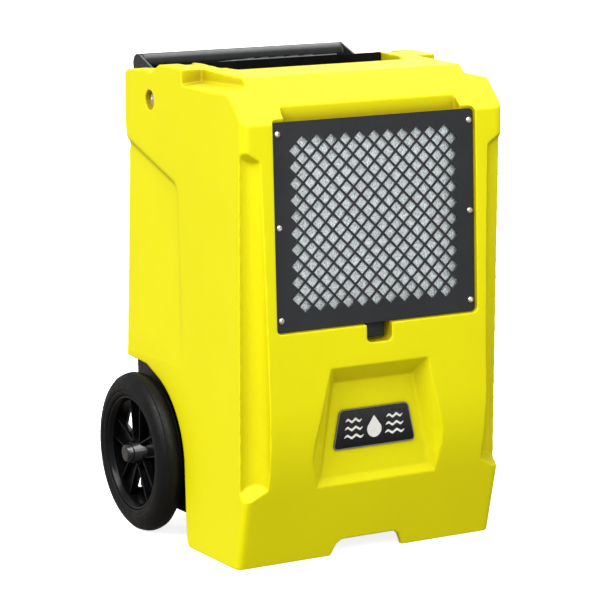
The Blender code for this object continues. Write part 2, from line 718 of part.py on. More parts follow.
# ---------------------------------------------------------------- chassis and wheels
def make_chassis():
    """Folded steel base: a floor and two side walls that carry the axle."""
    tray = box("base_chassis", (-CHASSIS_HALF, back(0.064), CHASSIS_Z),
               (CHASSIS_HALF, back(0.337), ARCH_TOP_Z - 0.004), "black_steel")
    inner = CHASSIS_HALF - SHEET
    hollow = box("tray_hollow", (-inner, back(-0.1), CHASSIS_Z + SHEET),
                 (inner, back(0.5), 0.3))
    front = box("tray_front", (-0.3, back(-0.1), CHASSIS_Z + SHEET + 0.020),
                (0.3, back(0.1835), 0.3))
    hole = cylinder("axle_hole", (0, back(WHEEL_DEPTH), WHEEL_R), AXLE_R + GAP, 0.5, "X",
                    sides=16)
    return combine(tray, [hollow, front, hole])


def make_arch_liners():
    """Curved black liners between the housing wall and the chassis wall."""
    hub = (back(WHEEL_DEPTH), WHEEL_R)
    outer = arc(hub, ARCH_R - 0.0004, 172, 104, 9)
    inner = arc(hub, ARCH_R - 0.0024, 104, 172, 9)
    for side, name in ((-1, "left"), (1, "right")):
        low, high = sorted((side * (CHASSIS_HALF + GAP), side * (BODY_HALF - 0.004)))
        outline("wheel_arch_liner_" + name, outer + inner, low, high, "YZ",
                "black_plastic")


def make_axle():
    length = 2 * (HUB_END_X - 0.006)
    return cylinder("wheel_axle", (0, back(WHEEL_DEPTH), WHEEL_R), AXLE_R, length, "X",
                    "zinc_steel", sides=16)


def tyre_profile():
    """Round-shouldered tyre section, run down its outer side and back up the bore."""
    half = TYRE_W / 2
    section = []
    for degrees in (62, 40, 20, 0, -20, -40, -62):
        angle = radians(degrees)
        section.append((WHEEL_R - 0.020 + 0.020 * cos(angle), half * sin(angle)))
    lower = section[-1]
    section.append((lower[0] - 0.010, -half))
    section.append((TYRE_BORE, -half + 0.003))
    section.append((TYRE_BORE, half - 0.003))
    section.append((lower[0] - 0.010, half))
    return section


def rim_profile():
    half = TYRE_W / 2 - 0.0035
    seat = TYRE_BORE - GAP
    return [(seat, half), (seat, -half), (seat - 0.004, -half), (seat - 0.0075, -0.006),
            (seat - 0.0075, 0.006), (seat - 0.004, half)]


def make_wheels():
    for side, name in ((-1, "left"), (1, "right")):
        frame = empty("wheel_frame_" + name, (side * WHEEL_X, back(WHEEL_DEPTH), WHEEL_R))
        tyre = turned("tyre_" + name, tyre_profile(), (0, 0, 0), "X", "rubber", 40)
        rim = turned("wheel_rim_" + name, rim_profile(), (0, 0, 0), "X", "black_plastic", 40)
        extras = []
        inner_end = WHEEL_X - CHASSIS_HALF - 0.0008
        hub = cylinder("hub", (side * (0.015 - inner_end) / 2, 0, 0), 0.0165,
                       0.015 + inner_end, "X", sides=24)
        extras.append(hub)
        for spoke in range(5):
            turn = Matrix.Rotation(radians(90 + 72 * spoke) * -side, 4, "X")
            web = [(0.008, 0.0085), (0.0695, 0.0115), (0.0695, -0.0115), (0.008, -0.0085)]
            flange = outline("spoke", web, -0.0135, -0.0095, "YZ")
            rib = box("rib", (-0.0100, 0.010, -0.0022), (0.0090, 0.0690, 0.0022))
            for piece in (flange, rib):
                if side < 0:
                    bm = bmesh.new()
                    bm.from_mesh(piece.data)
                    bmesh.ops.scale(bm, vec=(-1, 1, 1), verts=bm.verts)
                    bmesh.ops.reverse_faces(bm, faces=bm.faces)
                    bm.to_mesh(piece.data)
                    bm.free()
                piece.data.transform(turn)
                extras.append(piece)
        combine(rim, extras, "UNION")
        bore = cylinder("bore", (0, 0, 0), AXLE_R + 0.0001 + 0.00005, 0.06, "X", sides=24)
        combine(rim, [bore])
        cap_length = HUB_END_X - WHEEL_X - 0.0153
        cap = cylinder("hub_cap_" + name, (side * (0.0153 + cap_length / 2), 0, 0), 0.0130,
                       cap_length, "X", "black_plastic", sides=24, chamfer=0.0012)
        socket = cylinder("socket", (side * (0.0153 + cap_length / 2 - 0.0042), 0, 0),
                          AXLE_R + 0.0003, cap_length, "X", sides=24)
        combine(cap, [socket])
        hang(frame, tyre, rim, cap)


# ---------------------------------------------------------------- back, fan and motor
def make_rear():
    """Steel back panel with the exhaust, the fan unit, the inlet and the drain."""
    frame = empty("rear_frame", (0, back(REAR_FOOT), 0), turn_x=REAR_LEAN)
    top = (REAR_TOP_Z - 0.017) / cos(REAR_LEAN)
    shoulder = 0.525
    half = BODY_HALF - WALL - GAP
    base_half = CHASSIS_HALF - SHEET - GAP
    knee = ARCH_TOP_Z + 0.006
    neck = CONSOLE_HALF - GAP
    rim = [(-base_half, 0.042), (base_half, 0.042), (base_half, knee), (half, knee),
           (half, shoulder), (neck, shoulder), (neck, top), (-neck, top),
           (-neck, shoulder), (-half, shoulder), (-half, knee), (-base_half, knee)]
    exhaust = arc((0, FAN_Z), 0.0955, 0, 345, 23)
    inlet = round_rect(0.0140, 0.1250, 0.1460, 0.002, 1)
    inlet = [(u - 0.105, v) for u, v in inlet]
    drain = arc((0.105, 0.1355), 0.0082, 0, 337.5, 15)
    panel = outline("rear_panel", rim, -0.0045, -0.0025, "XZ", "black_steel",
                    holes=[exhaust, inlet, drain])

    guard = outline("exhaust_guard", arc((0, FAN_Z), 0.104, 0, 345, 23), -0.0022, -0.0006,
                    "XZ", "black_steel", holes=guard_slots())
    shroud = turned("fan_shroud", [(0.0955, 0.032), (0.0955, 0.0), (0.0925, 0.0),
                                   (0.0925, 0.032)], (0, 0, 0), "Z", "black_plastic", 32)
    collar = turned("collar", [(0.118, 0.002), (0.118, 0.0), (0.0940, 0.0), (0.0940, 0.002)],
                    (0, 0, 0), "Z", "black_plastic", 32)
    combine(shroud, [collar], "UNION")
    shroud.data.transform(Matrix.Translation((0, -0.0048, FAN_Z))
                          @ Matrix.Rotation(pi / 2, 4, "X"))
    fan = make_impeller()
    fan.location = (0, -0.0200, FAN_Z)
    motor_profile = [(0.0, 0.044), (0.030, 0.044), (0.036, 0.038), (0.036, 0.004),
                     (0.033, 0.0), (0.0040, 0.0), (0.0040, -0.010), (0.0, -0.010)]
    motor = turned("fan_motor", motor_profile, (0, 0, 0), "Z", "grey_plastic", 24)
    motor.data.transform(Matrix.Translation((0, -0.0330, FAN_Z))
                         @ Matrix.Rotation(pi / 2, 4, "X"))
    bracket = box("fan_bracket", (-0.0365, -0.0600, FAN_Z - 0.0365),
                  (0.0365, -0.0520, FAN_Z + 0.0365), "black_steel")
    arms = []
    for turn in (radians(45), radians(-45)):
        arm = box("bracket_arm", (-0.118, -0.0585, -0.006), (0.118, -0.0555, 0.006))
        arm.data.transform(Matrix.Translation((0, 0, FAN_Z)) @ Matrix.Rotation(turn, 4, "Y"))
        arms.append(arm)
        for end in (-1, 1):
            post = box("bracket_post", (-0.0035, -0.0575, -0.006), (0.0035, -0.0071, 0.006))
            post.data.transform(Matrix.Translation((0, 0, FAN_Z))
                                @ Matrix.Rotation(turn, 4, "Y")
                                @ Matrix.Translation((end * 0.1125, 0, 0)))
            arms.append(post)
    combine(bracket, arms, "UNION")
    seat = cylinder("motor_seat", (0, -0.056, FAN_Z), 0.0363, 0.05, "Y", sides=24)
    combine(bracket, [seat])

    inlet_rim = [(u - 0.105, v) for u, v in round_rect(0.0137, 0.1253, 0.1457, 0.002, 1)]
    flange_rim = [(u - 0.105, v) for u, v in round_rect(0.0190, 0.1200, 0.1510, 0.003, 1)]
    socket = outline("power_inlet", inlet_rim, -0.022, 0.0, "XZ", "black_plastic")
    flange = outline("inlet_flange", flange_rim, -0.0022, 0.0008, "XZ")
    combine(socket, [flange], "UNION")
    mouth = [(u - 0.105, v) for u, v in round_rect(0.0110, 0.1280, 0.1430, 0.002, 1)]
    combine(socket, [outline("inlet_mouth", mouth, -0.018, 0.01, "XZ")])

    drain_profile = [(0.0052, 0.026), (0.0062, 0.022), (0.0052, 0.018), (0.0062, 0.014),
                     (0.0052, 0.010), (0.0110, 0.008), (0.0110, GAP), (0.0078, GAP),
                     (0.0078, -0.012), (0.0032, -0.012), (0.0032, 0.026)]
    drain = turned("drain_connector", drain_profile, (0, 0, 0), "Z", "zinc_steel", 16)
    drain.data.transform(Matrix.Translation((0.105, -0.0025, 0.1355))
                         @ Matrix.Rotation(-pi / 2, 4, "X"))
    hang(frame, panel, guard, shroud, fan, motor, bracket, socket, drain)


def guard_slots():
    """Curved slots of the exhaust guard: three rings of arcs between eight spokes."""
    slots = []
    for inner, outer in ((0.022, 0.040), (0.045, 0.064), (0.069, 0.089)):
        for sector in range(8):
            bar = 2.4 * 0.06 / inner
            start, end = sector * 45 + bar, sector * 45 + 45 - bar
            ring = arc((0, FAN_Z), outer, start, end, 3) + arc((0, FAN_Z), inner, end, start, 3)
            slots.append(ring)
    return slots


def make_impeller():
    """Axial fan wheel: a cup hub with seven pitched blades, turning about its own Y."""
    hub_r, blades = 0.026, 7
    wheel = cylinder("fan_impeller", (0, 0, -0.0015), hub_r, 0.023, "Z", "grey_plastic",
                     sides=28)
    extras = []
    for blade in range(blades):
        bm = bmesh.new()
        bmesh.ops.create_cube(bm, size=1.0)
        for vert in bm.verts:
            outer, rear, upper = (co > 0 for co in vert.co)
            radius = FAN_R if outer else hub_r - 0.006
            chord = 0.046 if outer else 0.015
            pitch = radians(22 if outer else 40)
            spread = chord / 2 * (1 if rear else -1)
            lift = spread * sin(pitch) + (0.0011 if upper else -0.0011)
            sweep = spread * cos(pitch) / radius
            vert.co = (radius * cos(sweep), radius * sin(sweep), lift)
        bmesh.ops.triangulate(bm, faces=bm.faces)
        piece = from_bmesh(bm, "blade")
        piece.data.transform(Matrix.Rotation(2 * pi * (blade + 0.3) / blades, 4, "Z"))
        extras.append(piece)
    combine(wheel, extras, "UNION")
    combine(wheel, [cylinder("fan_bore", (0, 0, 0), 0.0042, 0.06, "Z", sides=24)])
    wheel.data.transform(Matrix.Rotation(pi / 2, 4, "X"))
    return wheel


# ---------------------------------------------------------------- refrigeration circuit
def make_coils():
    """Evaporator and condenser: finned blocks, and the tray that catches the water."""
    for name, depth, mat in (("evaporator_coil", 0.042, "aluminium"),
                             ("condenser_coil", 0.084, "copper")):
        points = []
        fins, half = 16, 0.118
        step = 2 * half / fins
        for i in range(fins):
            left = -half + i * step
            points += [(left, 0.524), (left + step * 0.6, 0.524)]
            points += [(left + step * 0.6, 0.514), (left + step, 0.514)]
        points += [(half, 0.524), (half + 0.004, 0.524), (half + 0.004, 0.302)]
        points += [(-half - 0.004, 0.302), (-half - 0.004, 0.524)]
        outline(name, points, back(depth), back(depth + 0.034), "XZ", mat)
    tray = box("drip_tray", (-0.132, back(0.0345), 0.2700), (0.132, back(0.126), 0.2990),
               "white_plastic")
    hollow = box("tray_bowl", (-0.129, back(0.0375), 0.2730), (0.129, back(0.123), 0.32))
    return combine(tray, [hollow])


def make_shelf():
    """Deck across the housing that the coils stand on."""
    half = BODY_HALF - WALL - GAP
    rim = [(-0.136, back(0.0275)), (0.136, back(0.0275)), (half, back(0.0545)),
           (half, back(0.3270)), (-half, back(0.3270)), (-half, back(0.0545))]
    pass_hole = arc((0.060, back(0.200)), 0.020, 0, 337.5, 15)
    return outline("machine_shelf", rim, SHELF_Z, SHELF_Z + 0.003, "XY", "zinc_steel",
                   holes=[pass_hole])


def make_compressor():
    floor = CHASSIS_Z + SHEET
    place = (0.045, back(0.175), floor + 0.012)
    profile = [(0.0, 0.165), (0.030, 0.160), (0.050, 0.145), (0.058, 0.120), (0.058, 0.040),
               (0.052, 0.018), (0.030, 0.004), (0.0, 0.004)]
    can = turned("compressor", profile, place, "Z", "black_steel", 28)
    foot = outline("foot", [(place[0] + u, place[1] + v) for u, v in
                            arc((0, 0), 0.080, 30, 270, 2)], floor + 0.0125, floor + 0.0175,
                   "XY")
    combine(can, [foot], "UNION")
    for number, (u, v) in enumerate(arc((0, 0), 0.066, 30, 270, 2), start=1):
        cylinder("compressor_mount_%d" % number,
                 (place[0] + u, place[1] + v, floor + 0.0062), 0.009, 0.0118, "Z",
                 "rubber", sides=12)
    profile = [(0.0, 0.120), (0.014, 0.114), (0.020, 0.100), (0.020, 0.020), (0.014, 0.006),
               (0.0, 0.0)]
    turned("suction_accumulator", profile, (0.128, back(0.225), 0.075), "Z",
           "black_steel", 16)


def make_pipes():
    """Copper lines between the compressor, the coils and the accumulator."""
    top = CHASSIS_Z + SHEET + 0.012 + 0.160
    discharge = [(0.045, back(0.175), top + 0.008), (0.045, back(0.175), 0.236),
                 (0.051, back(0.192), 0.245), (0.051, back(0.192), 0.330),
                 (0.148, back(0.160), 0.350), (0.148, back(0.102), 0.350),
                 (0.1225, back(0.102), 0.350)]
    tube("discharge_pipe", rounded_path(discharge, 0.006), 0.004, "copper", 1)
    suction = [(0.128, back(0.225), 0.1955), (0.128, back(0.225), 0.225),
               (0.071, back(0.208), 0.240), (0.071, back(0.208), 0.262),
               (0.071, back(0.208), 0.380), (0.148, back(0.160), 0.400),
               (0.148, back(0.060), 0.400), (0.1225, back(0.060), 0.400)]
    tube("suction_pipe", rounded_path(suction, 0.008), 0.0045, "copper", 1)


# ---------------------------------------------------------------- condensate and electrics
def make_condensate():
    """Water reservoir with its float and lift pump."""
    floor = CHASSIS_Z + SHEET + GAP
    low, high = (-0.155, back(0.100), floor), (-0.050, back(0.230), floor + 0.090)
    tank = box("condensate_reservoir", low, high, "white_plastic")
    bowl = box("reservoir_bowl", (low[0] + 0.003, low[1] + 0.003, low[2] + 0.003),
               (high[0] - 0.003, high[1] - 0.003, high[2] + 0.01))
    combine(tank, [bowl])
    cylinder("condensate_pump", (-0.085, back(0.200), floor + 0.0285), 0.020, 0.050, "Z",
             "black_plastic", sides=20, chamfer=0.003)
    frame = empty("float_frame", (-0.100, back(0.110), floor + 0.070))
    arm = box("reservoir_float", (-0.003, -0.003, -0.003), (0.003, 0.050, 0.003),
              "white_plastic")
    ball = cylinder("float_ball", (0, 0.052, 0), 0.014, 0.024, "Z", sides=20)
    combine(arm, [ball], "UNION")
    bore = cylinder("float_bore", (0, 0, 0), 0.00155, 0.02, "X", sides=16)
    combine(arm, [bore])
    hang(frame, arm)
    pin = cylinder("float_pin", (-0.100, back(0.110), floor + 0.070), 0.0015, 0.024, "X",
                   "zinc_steel", sides=12)
    return pin


def make_electrics():
    floor = CHASSIS_Z + SHEET + GAP
    box("power_module", (-0.110, back(0.2700), floor), (-0.020, back(0.3180), floor + 0.050),
        "grey_plastic", round_edges=0.002)


def build():
    make_housing()
    make_grille()
    make_grille_screws()
    make_filter()
    make_filter_frame()
    make_badge()
    make_console()
    make_handle()
    make_chassis()
    make_arch_liners()
    make_axle()
    make_wheels()
    make_rear()
    make_coils()
    make_shelf()
    make_compressor()
    make_pipes()
    make_condensate()
    make_electrics()


build()
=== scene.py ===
"""Looks of the commercial dehumidifier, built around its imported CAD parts."""
import json
from math import atan2, cos, pi, radians, sin, tan

import bmesh
import bpy
from mathutils import Matrix, Vector, noise


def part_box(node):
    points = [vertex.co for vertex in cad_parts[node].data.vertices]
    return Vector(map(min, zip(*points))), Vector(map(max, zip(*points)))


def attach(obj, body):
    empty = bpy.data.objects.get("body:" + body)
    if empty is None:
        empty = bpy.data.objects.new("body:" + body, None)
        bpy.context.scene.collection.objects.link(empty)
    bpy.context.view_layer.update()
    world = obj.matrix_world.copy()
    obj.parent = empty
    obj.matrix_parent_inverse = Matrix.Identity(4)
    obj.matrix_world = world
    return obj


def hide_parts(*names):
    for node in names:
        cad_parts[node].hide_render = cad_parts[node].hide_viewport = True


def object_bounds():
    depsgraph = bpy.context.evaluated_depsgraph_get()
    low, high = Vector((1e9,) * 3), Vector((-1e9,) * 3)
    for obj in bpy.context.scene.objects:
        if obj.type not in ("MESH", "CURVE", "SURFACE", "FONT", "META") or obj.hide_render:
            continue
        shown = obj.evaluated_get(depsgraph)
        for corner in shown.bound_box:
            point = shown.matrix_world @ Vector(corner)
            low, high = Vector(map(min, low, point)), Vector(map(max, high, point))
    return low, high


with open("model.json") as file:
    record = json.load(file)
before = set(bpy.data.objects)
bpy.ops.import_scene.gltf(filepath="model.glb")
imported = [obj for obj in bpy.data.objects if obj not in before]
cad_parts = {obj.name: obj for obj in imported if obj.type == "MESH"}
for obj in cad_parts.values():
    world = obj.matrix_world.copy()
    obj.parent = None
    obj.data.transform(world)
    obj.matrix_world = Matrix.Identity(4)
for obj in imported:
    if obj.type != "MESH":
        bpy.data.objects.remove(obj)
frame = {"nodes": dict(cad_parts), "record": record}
CAD_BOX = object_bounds()
NODES = frame["nodes"]
PIECES = bpy.context.scene.collection


# ---------------------------------------------------------------- materials
class Finish:
    """A procedural Principled material: grain as bump, mottled colour and roughness."""

    def __init__(self, name, colour, roughness, metallic=0.0, specular=0.5, coat=0.0):
        self.material = bpy.data.materials.new(name)
        self.material.use_nodes = True
        self.material.diffuse_color = (*colour, 1)
        self.tree = self.material.node_tree
        self.shader = self.tree.nodes["Principled BSDF"]
        self.colour, self.roughness = colour, roughness
        self.shader.inputs["Base Color"].default_value = (*colour, 1)
        self.shader.inputs["Roughness"].default_value = roughness
        self.shader.inputs["Metallic"].default_value = metallic
        self.shader.inputs["Specular IOR Level"].default_value = specular
        self.shader.inputs["Coat Weight"].default_value = coat
        self.place = self.node("TexCoord").outputs["Object"]
        self.bump = None

    def node(self, kind, **settings):
        """Adds a shader node with its properties set."""
        made = self.tree.nodes.new("ShaderNode" + kind)
        for key, value in settings.items():
            setattr(made, key, value)
        return made

    def link(self, source, target):
        self.tree.links.new(source, target)

    def glow(self, colour, strength):
        """Lets the surface give off light of its own."""
        self.shader.inputs["Emission Color"].default_value = (*colour, 1)
        self.shader.inputs["Emission Strength"].default_value = strength

    def noise(self, scale, detail=3.0, rough=0.5, stretch=None, distort=0.0):
        """Noise over the object's own coordinates, in cells per metre."""
        made = self.node("TexNoise")
        made.inputs["Scale"].default_value = scale
        made.inputs["Detail"].default_value = detail
        made.inputs["Roughness"].default_value = rough
        made.inputs["Distortion"].default_value = distort
        place = self.place
        if stretch:
            mapping = self.node("Mapping")
            mapping.inputs["Scale"].default_value = stretch
            self.link(place, mapping.inputs["Vector"])
            place = mapping.outputs["Vector"]
        self.link(place, made.inputs["Vector"])
        return made.outputs["Fac"]

    def ranged(self, source, low, high, start=0.3, end=0.7):
        """Maps a source from the range start to end onto low to high."""
        made = self.node("MapRange")
        made.inputs["From Min"].default_value = start
        made.inputs["From Max"].default_value = end
        made.inputs["To Min"].default_value = low
        made.inputs["To Max"].default_value = high
        self.link(source, made.inputs["Value"])
        return made.outputs["Result"]

    def ridges(self, source):
        """How far a source is from its middle value: thin lines lie where it is zero."""
        less = self.node("Math", operation="SUBTRACT")
        self.link(source, less.inputs[0])
        less.inputs[1].default_value = 0.5
        size = self.node("Math", operation="ABSOLUTE")
        self.link(less.outputs["Value"], size.inputs[0])
        return size.outputs["Value"]

    def grain(self, source, height):
        """Adds a bump layer of that height in metres over any layer before it."""
        made = self.node("Bump")
        made.inputs["Strength"].default_value = 1.0
        made.inputs["Distance"].default_value = height
        self.link(source, made.inputs["Height"])
        if self.bump:
            self.link(self.bump, made.inputs["Normal"])
        self.bump = made.outputs["Normal"]
        self.link(self.bump, self.shader.inputs["Normal"])
        return self

    def mottle(self, source, second, start=0.3, end=0.7):
        """Mixes a second colour in, from none at the start value to all at the end."""
        mix = self.node("Mix", data_type="RGBA")
        mix.inputs["A"].default_value = (*self.colour, 1)
        before = self.shader.inputs["Base Color"].links
        if before:
            self.link(before[0].from_socket, mix.inputs["A"])
        mix.inputs["B"].default_value = (*second, 1)
        self.link(self.ranged(source, 0.0, 1.0, start, end), mix.inputs["Factor"])
        self.link(mix.outputs["Result"], self.shader.inputs["Base Color"])
        return self

    def rough(self, source, spread):
        """Varies the roughness by the spread to each side, as the source does."""
        low, high = self.roughness - spread, self.roughness + spread
        self.link(self.ranged(source, low, high), self.shader.inputs["Roughness"])
        return self


# Each row: material name, colour, roughness and other settings; the grain's noise scale,
# noise detail and height; the mottling's noise scale and second colour; and the roughness's
# noise scale and spread.
PLAIN = {
    "black": (("black_plastic", (0.0024, 0.0025, 0.0028), 0.38, dict(specular=0.09)),
              (1500, 2, 0.00003), (30, (0.0070, 0.0070, 0.0075)), (90, 0.06)),
    "gloss": (("gloss_black", (0.0020, 0.0023, 0.0030), 0.25, dict(specular=0.19)),
              (700, 2, 0.00002), (40, (0.0036, 0.0038, 0.0044)), (120, 0.06)),
    "cap": (("polished_black", (0.0025, 0.0029, 0.0040), 0.22, dict(specular=0.6, coat=0.35)),
            (500, 2, 0.00002), (40, (0.0050, 0.0052, 0.0060)), (120, 0.05)),
    "powder": (("powder_black", (0.0090, 0.0092, 0.0100), 0.42, dict(specular=0.35)),
               (2200, 3, 0.00005), (50, (0.0130, 0.0132, 0.0140)), (200, 0.07)),
    "handle": (("handle_coat", (0.0085, 0.0090, 0.0100), 0.34, dict(specular=0.42)),
               (1800, 3, 0.00004), (60, (0.0125, 0.0130, 0.0145)), (150, 0.06)),
    "charcoal": (("charcoal_plate", (0.020, 0.0225, 0.0265), 0.52, dict(specular=0.32)),
                 (1900, 3, 0.00005), (25, (0.0245, 0.0272, 0.0315)), (180, 0.06)),
    "rubber": (("tyre_rubber", (0.0038, 0.0040, 0.0046), 0.44, dict(specular=0.16)),
               (900, 4, 0.00010), (45, (0.0064, 0.0065, 0.0070)), (130, 0.10)),
    "zinc": (("zinc", (0.90, 0.87, 0.80), 0.34, dict(metallic=1.0)),
             (1400, 3, 0.00003), (160, (0.78, 0.75, 0.68)), (400, 0.09)),
    "copper": (("copper", (0.78, 0.36, 0.18), 0.26, dict(metallic=1.0)),
               (900, 3, 0.00003), (70, (0.52, 0.22, 0.11)), (300, 0.08)),
    "aluminium": (("fin_stock", (0.70, 0.71, 0.72), 0.34, dict(metallic=1.0)),
                  (1100, 3, 0.00004), (80, (0.50, 0.51, 0.52)), (250, 0.10)),
    "grey": (("grey_plastic", (0.16, 0.165, 0.17), 0.45, {}),
             (1600, 2, 0.00004), (40, (0.20, 0.205, 0.21)), (120, 0.06)),
    "white": (("white_plastic", (0.90, 0.90, 0.89), 0.42, {}),
              (1200, 2, 0.00004), (30, (0.84, 0.84, 0.82)), (100, 0.06)),
    "button": (("button_rubber", (0.018, 0.018, 0.020), 0.50, dict(specular=0.3)),
               (2500, 2, 0.00004), (200, (0.026, 0.026, 0.028)), (300, 0.06)),
    "lens": (("display_glass", (0.006, 0.009, 0.014), 0.20, dict(specular=0.25)),
             (60, 2, 0.00002), (40, (0.010, 0.014, 0.020)), (50, 0.02)),
    "board": (("circuit_board", (0.03, 0.16, 0.07), 0.42, {}),
              (700, 3, 0.00008), (220, (0.05, 0.24, 0.10)), (150, 0.08)),
}
# Noise detail of the mottling, 3 for the others, and of the roughness, 4 for the others.
MOTTLE_DETAIL = {"rubber": 4, "copper": 4, "aluminium": 4}
ROUGH_DETAIL = {"zinc": 3, "copper": 3, "aluminium": 3, "lens": 3}

YELLOW = (0.890, 0.832, 0.002)
# Painted shade: the yellow is darkened towards this colour in hollows, where the AO node finds
# the surface enclosed.
HOLLOW_SHADE_COLOUR = (0.44, 0.345, 0.001)     # what the yellow turns to where little light comes
HOLLOW_REACH = 0.060
HOLLOW_RANGE = (0.95, 0.54)              # openness at which that starts, and is complete
# Painted sheen: the badge film is painted lighter towards its top, between these heights.
BADGE_SHEEN_HEIGHTS = (0.140, 0.182)     # heights between which the badge film grows lighter


def make_finishes():
    """Every finish, by its short name."""
    made = {}
    for key, (base, grain, mottle, rough) in PLAIN.items():
        name, colour, roughness, settings = base
        f = Finish(name, colour, roughness, **settings)
        f.grain(f.noise(*grain[:2]), grain[2])
        f.mottle(f.noise(mottle[0], MOTTLE_DETAIL.get(key, 3)), mottle[1])
        f.rough(f.noise(rough[0], ROUGH_DETAIL.get(key, 4)), rough[1])
        made[key] = f

    f = Finish("moulded_yellow", YELLOW, 0.46, specular=0.17)
    f.grain(f.noise(420, 2), 0.00012).grain(f.noise(2600, 1), 0.00003)
    f.mottle(f.noise(9), tuple(channel * 0.965 for channel in YELLOW))
    # Painted shade in the hollows, found by an ambient-occlusion node.
    hollow = f.node("AmbientOcclusion", samples=8)
    hollow.inputs["Distance"].default_value = HOLLOW_REACH
    f.mottle(hollow.outputs["AO"], HOLLOW_SHADE_COLOUR, *HOLLOW_RANGE)
    f.rough(f.noise(60, 4), 0.05)
    made["yellow"] = f

    f = Finish("filter_fibre", (0.86, 0.965, 0.975), 0.95, specular=0.1)
    # The creases' pattern gives both their relief and painted shade along them.
    wrinkles_and_shade = f.ridges(f.noise(330, 3, 0.6, stretch=(1.6, 1.0, 0.8), distort=0.9))
    tufts = f.noise(1300, 4, 0.8)
    f.grain(wrinkles_and_shade, 0.0004).grain(tufts, 0.0002)
    f.mottle(f.noise(85), (0.93, 0.95, 0.99))
    f.mottle(tufts, (0.70, 0.78, 0.80), 0.56, 0.85)
    # Painted shade: thin dark lines along the creases.
    f.mottle(wrinkles_and_shade, (0.07, 0.10, 0.12), 0.045, 0.0)
    made["fibre"] = f

    f = Finish("display_digits", (0.02, 0.10, 0.09), 0.30)
    f.glow((0.10, 0.95, 0.75), 0.8)
    f.grain(f.noise(900, 2), 0.00002)
    f.mottle(f.noise(200, 2), (0.03, 0.13, 0.11))
    made["glow"] = f

    f = Finish("badge_film", (0.0050, 0.0052, 0.0062), 0.28, specular=0.25)
    f.grain(f.noise(300, 2), 0.00003)
    # Painted sheen: the film grows lighter with height.
    height = f.node("SeparateXYZ")
    f.link(f.place, height.inputs["Vector"])
    f.mottle(height.outputs["Z"], (0.034, 0.035, 0.039), *BADGE_SHEEN_HEIGHTS)
    f.mottle(f.noise(160, 2), (0.010, 0.010, 0.012), 0.55, 0.95)
    f.rough(f.noise(90), 0.05)
    made["badge"] = f
    return made


FINISH = make_finishes()
SLOT_FINISH = {
    "yellow_plastic": "yellow", "black_plastic": "black", "black_steel": "powder",
    "charcoal_plate": "charcoal", "rubber": "rubber", "zinc_steel": "zinc",
    "copper": "copper", "aluminium": "aluminium", "filter_cloth": "fibre",
    "grey_plastic": "grey", "display_lens": "lens", "button_rubber": "button",
    "badge_film": "badge", "white_plastic": "white", "circuit_board": "board",
}


# ---------------------------------------------------------------- piece helpers
def as_mesh(bm, name):
    """Turns a bmesh into a mesh and frees it."""
    mesh = bpy.data.meshes.new(name)
    bm.to_mesh(mesh)
    bm.free()
    return mesh


def piece(name, shape, finish, body, slot, *nodes, smooth=35):
    """Adds a finished piece, from a bmesh or mesh, that rides on a body.

    It stands for the CAD nodes named last, if any. The smooth angle is in degrees.
    """
    if isinstance(shape, bmesh.types.BMesh):
        bmesh.ops.recalc_face_normals(shape, faces=shape.faces)
        shape = as_mesh(shape, name)
    shape.name = name
    shape.materials.clear()
    shape.materials.append(FINISH[finish].material)
    obj = bpy.data.objects.new(name, shape)
    PIECES.objects.link(obj)
    if smooth:
        shape.shade_smooth()
        shape.set_sharp_from_angle(angle=radians(smooth))
    if body:
        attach(obj, body)
    if nodes:
        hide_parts(*nodes)
    return obj


def baked(obj):
    """Replaces an object's mesh by its evaluated one and drops its modifiers."""
    bpy.context.view_layer.update()
    ready = obj.evaluated_get(bpy.context.evaluated_depsgraph_get())
    mesh = bpy.data.meshes.new_from_object(ready)
    obj.modifiers.clear()
    obj.data = mesh


def round_edges(width, *names):
    """Bevel and weighted normals for CAD nodes whose shape is right."""
    for name in names:
        obj = NODES[name]
        weld = obj.modifiers.new("weld", "WELD")
        weld.merge_threshold = 1e-5
        bevel = obj.modifiers.new("bevel", "BEVEL")
        bevel.width = width
        bevel.segments = 2
        bevel.limit_method = "ANGLE"
        bevel.angle_limit = radians(30)
        bevel.harden_normals = False
        weigh_normals(obj)


def weigh_normals(obj):
    """Shading that follows an object's large faces."""
    normals = obj.modifiers.new("normals", "WEIGHTED_NORMAL")
    normals.keep_sharp = False
    normals.weight = 60


def rounded(points, radius, steps=4, closed=True):
    """The outline with its corners turned into curves that start a radius away."""
    out = []
    count = len(points)
    for index, corner in enumerate(points):
        if not closed and index in (0, count - 1):
            out.append(tuple(corner))
            continue
        here = Vector(corner)
        before, after = Vector(points[index - 1]), Vector(points[(index + 1) % count])
        start = here + (before - here).normalized() * min(radius, (before - here).length * 0.45)
        end = here + (after - here).normalized() * min(radius, (after - here).length * 0.45)
        for step in range(steps + 1):
            t = step / steps
            out.append(tuple((1 - t) ** 2 * start + 2 * t * (1 - t) * here + t * t * end))
    return out


def lathe(profile, segments, closed=True):
    """A bmesh turned about the X axis from (x, radius) points."""
    bm = bmesh.new()
    rings = []
    for x, radius in profile:
        if radius < 1e-6:
            rings.append([bm.verts.new((x, 0, 0))] * segments)
            continue
        turns = [2 * pi * index / segments for index in range(segments)]
        rings.append([bm.verts.new((x, radius * cos(a), radius * sin(a))) for a in turns])
    following = rings[1:] + rings[:1] if closed else rings[1:]
    for one, two in zip(rings, following):
        for index in range(segments):
            after = (index + 1) % segments
            corners = (one[index], two[index], two[after], one[after])
            distinct = list(dict.fromkeys(corners))
            if len(distinct) > 2:
                bm.faces.new(distinct)
    return bm


PLACE = {"XY": lambda u, v, w: (u, v, w), "XZ": lambda u, v, w: (u, w, v),
         "YZ": lambda u, v, w: (w, u, v)}


